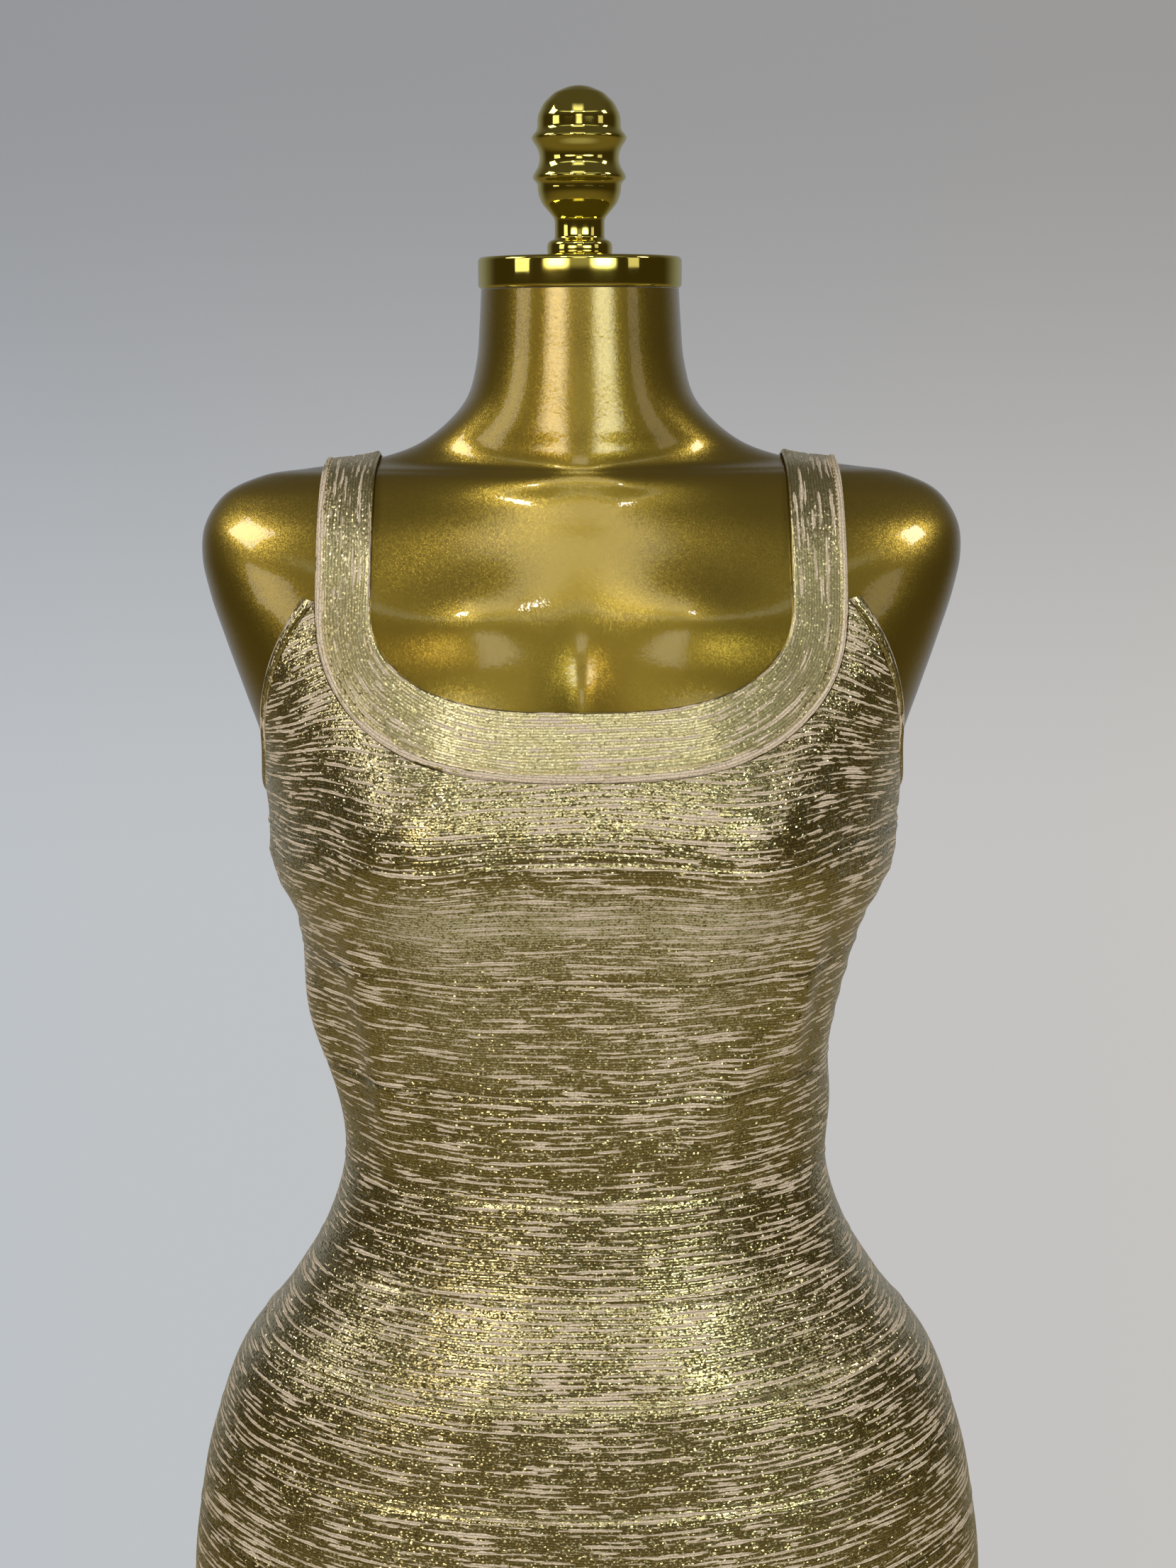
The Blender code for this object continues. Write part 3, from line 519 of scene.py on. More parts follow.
def make_mesh(name, verts, quads, uv=None):
    """Puts whole arrays of points, quads and UV pairs into a new mesh object at the origin."""
    mesh = bpy.data.meshes.new(name)
    mesh.vertices.add(len(verts))
    mesh.vertices.foreach_set("co", np.asarray(verts, np.float32).ravel())
    mesh.loops.add(quads.size)
    mesh.loops.foreach_set("vertex_index", quads.astype(np.int32).ravel())
    mesh.polygons.add(len(quads))
    mesh.polygons.foreach_set("loop_start", np.arange(0, quads.size, 4, dtype=np.int32))
    mesh.update(calc_edges=True)
    if uv is not None:
        layer = mesh.uv_layers.new(name="cloth")
        layer.data.foreach_set("uv", np.asarray(uv, np.float32)[quads.ravel()].ravel())
    mesh.validate()
    mesh.shade_smooth()
    mesh.set_sharp_from_angle(angle=SHARP_ANGLE)
    made = bpy.data.objects.new(name, mesh)
    bpy.context.scene.collection.objects.link(made)
    return made


def mount(piece, node=None):
    """Ties a piece to the frame: the body that carries it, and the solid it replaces."""
    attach(piece, "root")
    if node:
        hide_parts(node)
        PIECES[node] = piece
    return piece


print("quads in a grid of 3 by 3 points:", len(grid_quads(3, 3)))

# %% A closed shell of cloth
WAY_OUT = {False: (0.0, -1.0, 0.0), True: (0.0, 1.0, 0.0)}


def outward(points, toward):
    """Unit normals of a grid from the cross product of its rows' and columns' steps, turned so that
    on the whole they point the given way."""
    normal = unit(np.cross(np.gradient(points, axis=1), np.gradient(points, axis=0)))
    return normal * np.sign((normal @ np.array(toward)).sum())


def shell(node, inner, outer, u, v):
    """Closed shell between two grids: the outer face, the inner face turned round, and the rim."""
    rows, count = inner.shape[:2]
    size = rows * count
    index = np.arange(size).reshape(rows, count)
    rim = np.concatenate([index[0, :-1], index[:-1, -1], index[-1, :0:-1], index[:0:-1, 0]])
    ahead = np.roll(rim, -1)
    rim_quads = np.stack([rim, ahead, ahead + size, rim + size], axis=-1)
    face = grid_quads(rows, count)
    quads = np.concatenate([face[:, ::-1] + size, face, rim_quads[:, ::-1]])
    i, j = rows // 2, count // 2
    step_down, step_along = outer[i + 1, j] - outer[i, j], outer[i, j + 1] - outer[i, j]
    if np.dot(np.cross(step_down, step_along), outer[i, j] - inner[i, j]) < 0:
        quads = quads[:, ::-1]
    verts = np.concatenate([inner.reshape(-1, 3), outer.reshape(-1, 3)])
    uv = np.stack(np.broadcast_arrays(u, v), axis=-1).reshape(-1, 2)
    return mount(make_mesh("knit_" + node, verts, quads, np.concatenate([uv, uv])), node)


def round_length(points):
    """Length along each row of a grid, counted from the row's middle."""
    length = path_length(points, axis=1)
    return length - length[:, [points.shape[1] // 2]]


print("ways out:", WAY_OUT)

# %% [markdown]
# ## Strips
#
# The skirt and bodice are level strips of knit, linked edge to edge. Each strip is a little fuller in
# its middle, its lower edge stands over the next strip as a small lip, and its upper edge dips under
# the one above. That lip casts the thin dark line that shows each seam. The seam below the fifth
# strip, across the hips, stands out most.

# %% Strips of the front and back
STRIP_COLUMNS = 190
COLUMN_STRETCH = 1.6
ROW_SPACING = 0.0028
EDGE_ROWS = (0.0, 0.0004, 0.0009, 0.0015, 0.0023, 0.0034)
LIP_RISE = 0.00042
PROUD_LIPS = {5: 0.00085}
LIP_MIDDLE = 0.0013
LIP_REACH = 0.0012
TUCK_DEPTH = 0.00060
TUCK_REACH = 0.0016
FULLNESS = 0.0005
PATTERN_STEP = 0.61


def rows_between(top, bottom):
    """Rows from seam to seam: close together at both edges and even between them."""
    edge = np.array(EDGE_ROWS)
    count = int(round((top - bottom - 2 * edge[-1]) / ROW_SPACING))
    middle = np.linspace(top - edge[-1], bottom + edge[-1], count + 1)[1:-1]
    return np.concatenate([top - edge, middle, bottom + edge[::-1]])


def lip(along, bottom, rise):
    """The bell just above a lower edge."""
    return rise * bell(along - bottom, LIP_MIDDLE, LIP_REACH)


def seam_relief(along, top, bottom, lip_rise):
    """Extra thickness across a strip: a sine over its height for fullness, less a bell at the tucked
    upper edge, plus the lip."""
    share = (top - along) / (top - bottom)
    full = FULLNESS * np.sin(np.pi * np.clip(share, 0.0, 1.0))
    return full - TUCK_DEPTH * bell(along, top, TUCK_REACH) + lip(along, bottom, lip_rise)


def half_turns(back):
    """Turns from side seam to side seam, closer together at the sides, where the oval bends most."""
    start = 90.0 if back else -90.0
    phase = np.radians(np.linspace(start, start + 180.0, STRIP_COLUMNS + 1))
    turn = np.degrees(np.arctan2(COLUMN_STRETCH * np.sin(phase), np.cos(phase)))
    return np.where(turn < start - 1e-6, turn + 360.0, turn)


def cloth_points(turn, height, out, back):
    """Points on the cloth, moved out along their ray, and kept half a seam gap off the side seam."""
    radius = cloth_radius(turn, height) + out
    depth = np.maximum(np.abs(radius * np.cos(np.radians(turn))), SEAM_GAP / 2)
    return placed(radius * np.sin(np.radians(turn)), depth, height, back)


def add_strip(k, back):
    """A strip: the cloth between two lengths up from the waist, the same all round, with its
    thickness and relief added along each ray."""
    top, bottom = SEAMS[k] - SEAM_GAP / 2, SEAMS[k + 1] + SEAM_GAP / 2
    turn, along = np.broadcast_arrays(half_turns(back), rows_between(top, bottom)[:, None])
    height = height_at(turn, along)
    relief = seam_relief(along, top, bottom, PROUD_LIPS.get(k + 1, LIP_RISE))
    inner = cloth_points(turn, height, 0.0, back)
    outer = cloth_points(turn, height, CLOTH_THICKNESS + relief, back)
    u = round_length(outer).mean(axis=0) + PATTERN_STEP * (k + 1)
    shell(f"{HALVES[back]}_strip_{k + 1:02d}", inner, outer, u, along)


for k in range(len(SEAMS) - 1):
    add_strip(k, back=False)
    add_strip(k, back=True)
print("strips:", len(PIECES), "quads in one:", len(PIECES["front_strip_01"].data.polygons))

# %% [markdown]
# ## Top pieces
#
# The bust piece and the upper back lie between the first strip, the neck band and the two armholes.
# Their columns run from a point of the upper edge down to the seam. Near the armholes the knitted
# rows droop outward, because the strap pulls the middle of the piece up. The UV map is sheared there.

# %% Edges of the neck and armholes
ARMHOLE_SPACING = 0.6
ARMHOLE_POWER = 2.0


def scoop_edge(half_width, bottom, phase):
    """Rounded scoop: |x / w|^p + |drop / depth|^p = 1, by its phase from strap to strap."""
    sine, cosine = np.sin(phase), np.cos(phase)
    x = half_width * np.sign(sine) * np.abs(sine) ** (2.0 / SCOOP_POWER)
    z = SCOOP_TOP - (SCOOP_TOP - bottom) * np.abs(cosine) ** (2.0 / SCOOP_POWER)
    return x, z


def armhole_edge(back, count):
    """Cloth's edge from the strap to the side seam, as turns and heights: steep beside the strap and
    level under the arm, height = bottom + drop * share^power."""
    start = STRAP_OUTER + SEAM_GAP
    top_turn = float(np.degrees(np.arctan2(start, lifted_depth(start, ARMHOLE_TOP, back))))
    share = np.linspace(1.0, 0.0, count + 1) ** ARMHOLE_SPACING
    turn = 90.0 - (90.0 - top_turn) * share
    height = ARMHOLE_BOTTOM + (ARMHOLE_TOP - ARMHOLE_BOTTOM) * share**ARMHOLE_POWER
    return turn, height


def panel_points(turn, height, back):
    """Points on the taut cloth, raised beside the straps, for turns counted from the piece's middle."""
    radius = cloth_radius(facing(turn, back), height)
    x = radius * np.sin(np.radians(turn))
    depth = radius * np.cos(np.radians(turn))
    return placed(x, depth + strap_lift(x, height, depth, back), height, back)


print("armhole starts at turn", armhole_edge(False, 1)[0][0].round(2))

# %% Bust piece and upper back
SCOOP_COLUMNS = 150
ARMHOLE_COLUMNS = 46
PANEL_FLARE = 2.0
DROOP_SLOPE = 0.60
DROOP_FROM = 0.104
DROOP_EASE = 0.020
DROOP_HEIGHTS = (1.19, 1.27)


def upper_edge(back):
    """Upper edge from side to side, as turns and heights: armhole, scoop, armhole."""
    phase = np.linspace(-np.pi / 2, np.pi / 2, SCOOP_COLUMNS + 1)[1:-1]
    x, z = scoop_edge(STRAP_OUTER + SEAM_GAP, SCOOP_LOWEST[HALVES[back]][1] - SEAM_GAP, phase)
    scoop_turn = np.degrees(np.arctan2(x, lifted_depth(x, z, back)))
    arm_turn, arm_height = armhole_edge(back, ARMHOLE_COLUMNS)
    turn = np.concatenate([-arm_turn[::-1], scoop_turn, arm_turn])
    return turn, np.concatenate([arm_height[::-1], z, arm_height])


def lower_edge(upper_turn, back):
    """Lower edge at the first seam: the same turns, flared a little, and spread out to the sides."""
    spread = np.abs(np.linspace(-90.0, 90.0, len(upper_turn)))
    reach = np.maximum(spread, np.minimum(np.abs(upper_turn) + PANEL_FLARE, 90.0))
    turn = np.sign(np.round(upper_turn, 6)) * reach
    return turn, height_at(facing(turn, back), SEAMS[0] + SEAM_GAP)


def add_top_piece(node, back):
    """A top piece: straight columns in turn and height from the upper edge to the lower one, raised
    square to the cloth by its thickness and lip."""
    upper_turn, upper_height = upper_edge(back)
    lower_turn, lower_height = lower_edge(upper_turn, back)
    count = int(round((upper_height.max() - lower_height.min()) / ROW_SPACING))
    tail = np.array(EDGE_ROWS[::-1]) / (upper_height.min() - lower_height.max())
    share = np.concatenate([np.linspace(0.0, 1.0 - tail[0], count)[:-1], 1.0 - tail])[:, None]
    turn = upper_turn + (lower_turn - upper_turn) * share
    height = upper_height + (lower_height - upper_height) * share
    inner = panel_points(turn, height, back)
    along = along_at(facing(turn, back), height)
    thickness = CLOTH_THICKNESS + lip(along, SEAMS[0] + SEAM_GAP, LIP_RISE)
    outer = inner + outward(inner, WAY_OUT[back]) * thickness[..., None]
    for points in (inner, outer):
        side = 1.0 if back else -1.0
        points[..., 1] = side * np.maximum(side * points[..., 1], SEAM_GAP / 2)
    aside = np.maximum(np.abs(inner[..., 0]) - DROOP_FROM, 0.0)
    droop = DROOP_SLOPE * aside**2 / (aside + DROOP_EASE) * ease(height, *DROOP_HEIGHTS)
    u = np.radians(turn) * cloth_radius(facing(turn, back), height)
    shell(node, inner, outer, u, along + droop)


add_top_piece("bust_front", back=False)
add_top_piece("upper_back", back=True)
print("bust piece quads:", len(PIECES["bust_front"].data.polygons))

# %% [markdown]
# ## Neck band and straps
#
# One shaped band goes round the scoop and up over the shoulder. It is thicker than the strips, its
# edges are rolled, and a cover stitch holds a narrow rib just inside its outer edge. The knitted rows
# run along the band, so u is the length along it and v the distance in from its outer edge.

# %% Straps and the band's relief
STRAP_ROWS = 60
BAND_ROLL = 0.0011
BAND_EDGE = 0.35
RIB_RISE = 0.00055
RIB_FROM_EDGE = 0.0019
RIB_REACH = 0.0012
GROOVE_FROM_EDGE = 0.0044
GROOVE_DEPTH = 0.00020
GROOVE_REACH = 0.0008


def strap_points(across, back, side):
    """Strap from the shoulder seam down to the scoop's top, at evenly spaced lengths along its line."""
    strap = []
    for share in across:
        x = STRAP_INNER + (STRAP_OUTER - STRAP_INNER) * share
        line = strap_line(x, back)[::-1]
        line = line[line[:, 0] < -SEAM_GAP / 2]
        line = np.concatenate([[[-SEAM_GAP / 2, line[0, 1]]], line])
        joint = np.interp(SCOOP_TOP, line[::-1, 1], line[::-1, 0])
        above = line[line[:, 1] > SCOOP_TOP + STRAP_LINE_MARGIN]
        line = np.concatenate([above, [[joint, SCOOP_TOP]]])
        length = path_length(line)
        where = np.linspace(0.0, length[-1], STRAP_ROWS + 1)
        depth = -np.interp(where, length, line[:, 0])
        depth[-1] = lifted_depth(x, SCOOP_TOP, back)
        strap.append(placed(side * x, depth, np.interp(where, length, line[:, 1]), back))
    return np.array(strap)


def softened(points, times):
    """Evens out a grid along its columns: each inner point moves to the mean of itself and the two
    beside it, so that the taut straps meet the scoop without a corner."""
    for _ in range(times):
        inner = (points[:, :-2] + 2.0 * points[:, 1:-1] + points[:, 2:]) / 4.0
        points = np.concatenate([points[:, :1], inner, points[:, -1:]], axis=1)
    return points


def band_thickness(across, width):
    """Thickness across the band: round rolled edges, sqrt(1 - (1 - d / roll)^2) at a distance d from
    an edge, plus the rib's bell and less the groove's, both inside the outer edge."""
    from_inner, from_outer = across * width, (1.0 - across) * width
    near = np.clip(np.minimum(from_inner, from_outer) / BAND_ROLL, 0.0, 1.0)
    roll = BAND_EDGE + (1.0 - BAND_EDGE) * np.sqrt(1.0 - (1.0 - near) ** 2)
    rib = RIB_RISE * bell(from_outer, RIB_FROM_EDGE, RIB_REACH)
    groove = GROOVE_DEPTH * bell(from_outer, GROOVE_FROM_EDGE, GROOVE_REACH)
    return BAND_THICKNESS * roll + rib - groove


print("thickness on the rib:", round(float(band_thickness(0.93, 0.03)), 5))

# %% Neck bands
BAND_COLUMNS = 260
BAND_ACROSS = np.array([0.0, 0.006, 0.02, 0.04, 0.07, *np.linspace(0.1, 0.78, 15), 0.815, 0.84, 0.86,
                        0.88, 0.90, 0.92, 0.94, 0.96, 0.978, 0.992, 1.0])
BAND_SOFTENING = 12
BAND_PATTERN_U = 7.3


def add_neck_band(back):
    """A neck band: straight lines across from the inner scoop to the outer one, carried on up the
    straps, and raised square to themselves by the band's thickness."""
    inner_low, outer_low = SCOOP_LOWEST[HALVES[back]]
    phase = np.linspace(-np.pi / 2, np.pi / 2, BAND_COLUMNS + 1)
    inner_x, inner_z = scoop_edge(STRAP_INNER, inner_low, phase)
    outer_x, outer_z = scoop_edge(STRAP_OUTER, outer_low, phase)
    across = BAND_ACROSS[:, None]
    x = inner_x + (outer_x - inner_x) * across
    z = inner_z + (outer_z - inner_z) * across
    scoop = placed(x, lifted_depth(x, z, back), z, back)
    left, right = (strap_points(BAND_ACROSS, back, side) for side in (-1.0, 1.0))
    inner = np.concatenate([left[:, :-1], scoop, right[:, ::-1][:, 1:]], axis=1)
    inner = softened(inner, BAND_SOFTENING)
    width = np.linalg.norm(inner[-1] - inner[0], axis=-1)
    outer = inner + outward(inner, WAY_OUT[back]) * band_thickness(across, width)[..., None]
    u = round_length(outer)[len(across) // 2] + BAND_PATTERN_U * (1 + back)
    shell(f"neck_band_{HALVES[back]}", inner, outer, u, (1.0 - across) * width)
    return outer


BAND_OUTER = {back: add_neck_band(back) for back in HALVES}
print("band points:", BAND_OUTER[False].shape)

# %% [markdown]
# ## Armhole bindings
#
# A narrow rolled binding finishes each armhole, from the front strap under the arm to the back strap.
# Its cut is a half round, so its thickness follows a sine across its width.

# %% Armhole bindings
BINDING_WIDTH = 0.0055
BINDING_COLUMNS = 90
BINDING_ROWS = 9
BINDING_BASE = 0.0009
BINDING_PATTERN_U = 3.1


def binding_edge(back, across):
    """Armhole edge moved square to itself across the cloth, staying on the surface."""
    turn, height = armhole_edge(back, BINDING_COLUMNS)
    radius = cloth_radius(facing(turn, back), height)
    run = np.gradient(np.radians(turn)) * radius
    rise = np.gradient(height)
    length = np.hypot(run, rise)
    moved_turn = turn + np.degrees(-rise / length * across / radius)
    return panel_points(np.minimum(moved_turn, 90.0), height + run / length * across, back)


def add_binding(node, side):
    """A binding: the armhole's edge moved across the cloth by even widths, raised by a sine over
    them, and mirrored to its side."""
    widths = np.linspace(BINDING_GAP, BINDING_WIDTH, BINDING_ROWS)
    inner = np.array([np.concatenate([binding_edge(False, width)[:-1], binding_edge(True, width)[::-1]])
                      for width in widths])
    share = np.linspace(0.0, 1.0, BINDING_ROWS)[:, None, None]
    round_over = BINDING_BASE + (BINDING_THICKNESS - BINDING_BASE) * np.sin(np.pi * share)
    outer = inner + outward(inner, (1.0, 0.0, 0.0)) * round_over
    u = round_length(outer) + BINDING_PATTERN_U
    mirror = np.array([side, 1.0, 1.0])
    shell(node, inner * mirror, outer * mirror, u, widths[:, None])


add_binding("armhole_binding_left", -1.0)
add_binding("armhole_binding_right", 1.0)
print("binding quads:", len(PIECES["armhole_binding_left"].data.polygons))

# %% [markdown]
# ## The dress form
#
# The form is a lacquered shell, smooth all over. Its mesh is rings of points up the same figure, with
# the rings spaced by the length of the side outline, so the shoulders get as many as the neck. A very
# soft ridge below the neck on each side catches the light, as on the real form, and so do the chest's
# swell and the valley in its middle, which are bells like the folds of the cloth.

# %% The form's surface
RIDGE_HEIGHT = 1.3625
RIDGE_FROM = (2.0, 17.0)
RIDGE_TO = (42.0, 66.0)
RIDGE_MIDDLE = 9.0
RIDGE_CLIMB = 0.00004
RIDGE_REACH = 0.0075
RIDGE_RISE = 0.0022
BELLS = (
    (0, 1.360, 10, 0.0110, 0, -0.0012), (-33, 1.301, 19, 0.0200, 0, 0.0068),
    (33, 1.301, 19, 0.0200, 0, 0.0068), (0, 1.258, 8, 0.0260, 0, -0.0066),
)
CREASE_PASSES = 40
CREASE_REACH = 0.35
CREASE_HEIGHTS = (1.335, 1.355)


def form_radius(turn, height):
    """Figure plus a soft ridge, a bell over a line that climbs a little outward, plus the bells: the
    notch between the ridges, the chest's swell on each side, and the valley between."""
    away = np.abs((turn + 180.0) % 360.0 - 180.0)
    line = RIDGE_HEIGHT + RIDGE_CLIMB * (away - RIDGE_MIDDLE)
    within = ease(away, *RIDGE_FROM) * ease(-away, -RIDGE_TO[1], -RIDGE_TO[0])
    ridge = RIDGE_RISE * within * bell(height, line, RIDGE_REACH)
    return figure_radius(turn, height) + ridge + fold_rise(turn, height, BELLS)


def uncreased(radius, turn, height):
    """Rounds off the crease that a power under 2 leaves at the middle of the neck's foot: there each
    ring moves to its own running mean, by the share exp(-(sin(turn) / reach)^2)."""
    mean = radius
    for _ in range(CREASE_PASSES):
        mean = (np.roll(mean, 1, axis=1) + 2.0 * mean + np.roll(mean, -1, axis=1)) / 4.0
    share = bell(np.sin(np.radians(turn)), 0.0, CREASE_REACH) * ease(height, *CREASE_HEIGHTS)
    return radius + share * (mean - radius)


print("form at the ridge:", round(float(form_radius(30.0, RIDGE_HEIGHT)), 4))

# %% Closed pieces from rings
END_RINGS = (0.98, 0.6, 0.2, 0.002)


def circle(count):
    """Even angles round a full turn."""
    return np.linspace(0.0, 2.0 * np.pi, count, endpoint=False)


def ring_quads(rings):
    """Quads round a stack of closed rings, and a quad fan over the two tiny end rings."""
    rows, count = rings.shape[:2]
    j = np.arange(count // 2 - 1)
    fan = np.stack([j, j + 1, count - 2 - j, count - 1 - j], axis=-1)
    return np.concatenate([grid_quads(rows, count, closed=True), fan[:, ::-1], fan + (rows - 1) * count])


def ring_piece(name, node, rings):
    """A piece from rings, top ring first. Smaller rings inside the first and last one, down to a
    tiny one, make its ends flat discs."""
    ends = []
    for ring in (rings[0], rings[-1]):
        middle = ring.mean(axis=0)
        ends.append([middle + (ring - middle) * share for share in END_RINGS])
    rings = np.concatenate([np.array(ends[0][::-1]), rings, np.array(ends[1])])
    return mount(make_mesh(name, rings.reshape(-1, 3), ring_quads(rings)), node)


print("rings at each end:", len(END_RINGS))

# %% Form
FORM_COLUMNS = 200
FORM_STRETCH = 1.3
FORM_ROWS = 330
FORM_EDGE = 0.0500
FORM_EDGE_INSET = 0.10
FORM_EDGE_ROWS = 16


def form_heights():
    """Heights that share out the side outline's length evenly, from the neck to the rounded lower edge."""
    keep = FIGURE["height"] >= FORM_BOTTOM + FORM_EDGE
    heights = FIGURE["height"][keep]
    length = running(np.hypot(np.diff(heights), np.diff(FIGURE["half_width"][keep])))
    upper = np.interp(np.linspace(0.0, length[-1], FORM_ROWS), length, heights)
    quarter = np.linspace(0.0, np.pi / 2, FORM_EDGE_ROWS)[1:]
    return np.concatenate([upper, FORM_BOTTOM + FORM_EDGE * (1.0 - np.sin(quarter))])


def add_form():
    """The form: x = r sin(turn) and y = -r cos(turn) for each ring, drawn in at the lower edge by a
    quarter of an ellipse."""
    height = form_heights()[:, None]
    phase = circle(FORM_COLUMNS)
    turn = np.degrees(np.arctan2(FORM_STRETCH * np.sin(phase), np.cos(phase)))[None, :]
    edge = np.clip((height - FORM_BOTTOM) / FORM_EDGE, 0.0, 1.0)
    rounding = 1.0 - FORM_EDGE_INSET * (1.0 - np.sqrt(1.0 - (1.0 - edge) ** 2))
    radius = uncreased(form_radius(turn, height), turn, height) * rounding
    rings = placed(radius * np.sin(np.radians(turn)), radius * np.cos(np.radians(turn)), height, back=False)
    ring_piece("lacquered_form", "form_body", rings)


add_form()
print("form quads:", len(PIECES["form_body"].data.polygons))

# %% [markdown]
# ## Cap, knob, pole and foot
#
# These are turned parts. A profile of heights and radii is rounded where a lathe tool would round it,
# and spun into rings. The knob's outline is drawn through its own points.

# %% Profiles of the turned pieces
CAP_RADIUS = 0.0508
CAP_HEIGHT = 0.0153
CAP_BEVEL = 0.0012
POLE_RADIUS = 0.0140
FLANGE_RADIUS = 0.0450
FLANGE_HEIGHT = 0.0060
FLANGE_BEVEL = 0.0005
FLANGE_CONE_RADIUS = 0.0240
FLANGE_CONE_HEIGHT = 0.0120
FOOT = ((0.0, 0.1740), (0.0010, 0.1750), (0.0072, 0.1750), (0.0096, 0.1720), (0.0120, 0.1630))
COLLAR = ((0.0, 0.0260), (0.0210, 0.0220), (0.0300, 0.0160), (0.0310, POLE_RADIUS))
KNOB = (
    (0.0, 0.0150), (0.0012, 0.0162), (0.0064, 0.0162), (0.0080, 0.0146), (0.0086, 0.0124),
    (0.0185, 0.0124), (0.0215, 0.0150), (0.0262, 0.0190), (0.0315, 0.0207), (0.0355, 0.0207),
    (0.0376, 0.0231), (0.0392, 0.0231), (0.0440, 0.0202), (0.0480, 0.0195), (0.0520, 0.0204),
    (0.0566, 0.0235), (0.0582, 0.0235), (0.0612, 0.0207), (0.0680, 0.0205), (0.0740, 0.0176),
    (0.0790, 0.0124), (0.0818, 0.0060), (0.0826, 0.0015),
)
cap_low = NECK_TOP + SEAM_GAP
cap_high = cap_low + CAP_HEIGHT
pole_high = FORM_BOTTOM - SEAM_GAP
flange = pole_high - FLANGE_HEIGHT


def raised(outline, lift):
    """The same outline, moved up."""
    return [(lift + height, radius) for height, radius in outline]


CAP = [(cap_low, CAP_RADIUS - CAP_BEVEL), (cap_low + CAP_BEVEL, CAP_RADIUS),
       (cap_high - CAP_BEVEL, CAP_RADIUS), (cap_high, CAP_RADIUS - CAP_BEVEL)]
POLE = [*raised(COLLAR, FOOT[-1][0] + SEAM_GAP),
        (flange - FLANGE_CONE_HEIGHT, POLE_RADIUS), (flange, FLANGE_CONE_RADIUS),
        (flange + FLANGE_BEVEL, FLANGE_RADIUS), (pole_high, FLANGE_RADIUS)]
print("cap from", round(cap_low, 4), "to", round(cap_high, 4))

# %% Turned pieces
TURNED_COLUMNS = 128
CORNER_STEPS = 4
CORNER_SHARE = 0.45
TURNED = (
    ("plated_cap", "neck_cap", CAP, 0.0009),
    ("plated_knob", "finial", raised(KNOB, cap_high + SEAM_GAP), 0.0020),
    ("plated_foot", "stand_base", FOOT, 0.0030),
    ("plated_pole", "stand_pole", POLE, 0.0020),
)


def rounded_corners(profile, size):
    """Replaces each inner corner of a profile by a short quadratic curve that starts and ends at most
    this far from it."""
    points = np.array(profile, float)
    made = [points[0]]
    for before, corner, after in zip(points, points[1:], points[2:]):
        first, last = before - corner, after - corner
        first *= min(size / np.linalg.norm(first), CORNER_SHARE)
        last *= min(size / np.linalg.norm(last), CORNER_SHARE)
        t = np.linspace(0.0, 1.0, CORNER_STEPS + 1)[:, None]
        made.extend(corner + first * (1 - t) ** 2 + last * t**2)
    made.append(points[-1])
    return np.array(made)


def turned(name, node, profile, rounding):
    """Spins a profile of heights and radii round the vertical axis."""
    height, radius = rounded_corners(profile, rounding)[::-1].T[..., None]
    angle = circle(TURNED_COLUMNS)
    rings = placed(radius * np.sin(angle), radius * np.cos(angle), height, back=False)
    return ring_piece(name, node, rings)


print("turned pieces:", [turned(*row).name for row in TURNED])

# %% [markdown]
# ## Cover stitching
#
# A row of small stitches holds the rib at the band's outer edge. One stitch is a flattened bead of a
# few faces, and a whole row is one mesh, made by repeating its points along the seam.

# %% Stitches
STITCH_LENGTH = 0.0022
STITCH_PITCH = 0.0031
STITCH_RADIUS = 0.00028
STITCH_SIDES = 6
STITCH_RINGS = 5
STITCH_FLATTENING = 1.3
STITCH_TIP = 0.35
BAND_WIDTH = 0.030


def stitch_row(name, path, normal):
    """Beads along a path: each is a round bar whose radius follows a half sine along its length."""
    length = path_length(path)
    count = int(length[-1] / STITCH_PITCH)
    middles = (np.arange(count) + 0.5) * length[-1] / count
    t = np.linspace(-0.5, 0.5, STITCH_RINGS)
    where = middles[:, None] + t[None, :] * STITCH_LENGTH
    centre, up = (np.stack([np.interp(where, length, column) for column in table.T], axis=-1)
                  for table in (path, normal))
    across = unit(np.cross(unit(np.gradient(centre, axis=1)), up))
    angle = circle(STITCH_SIDES)[:, None]
    swell = STITCH_RADIUS * (STITCH_TIP + (1.0 - STITCH_TIP) * np.cos(np.pi * t))[None, :, None, None]
    ring = across[:, :, None] * np.cos(angle) * STITCH_FLATTENING + up[:, :, None] * np.sin(angle)
    verts = centre[:, :, None] + ring * swell
    last = (STITCH_RINGS - 1) * STITCH_SIDES
    ends = np.array([[3, 2, 1, 0], [5, 4, 3, 0], [last, last + 1, last + 2, last + 3],
                     [last, last + 3, last + 4, last + 5]])
    one = np.concatenate([grid_quads(STITCH_RINGS, STITCH_SIDES, closed=True), ends])
    quads = one[None] + np.arange(count)[:, None, None] * STITCH_RINGS * STITCH_SIDES
    return mount(make_mesh(name, verts.reshape(-1, 3), quads.reshape(-1, 4)))


STITCHES = {}
in_groove = int(np.argmin(np.abs((1.0 - BAND_ACROSS) * BAND_WIDTH - GROOVE_FROM_EDGE)))
for back, half in HALVES.items():
    outer = BAND_OUTER[back]
    up = outward(outer, WAY_OUT[back])
    STITCHES[f"neck_band_{half}"] = stitch_row(f"stitches_band_{half}", outer[in_groove], up[in_groove])
print("stitch rows:", [piece.name for piece in STITCHES.values()])

# %% [markdown]
# ## Finishes
#
# Colours are written as the hex values a maker would pick from a swatch and turned to linear light by
# one function. One small function adds a node with its settings and links. It takes a node as it
# takes a number, so a line reads as what goes into what.

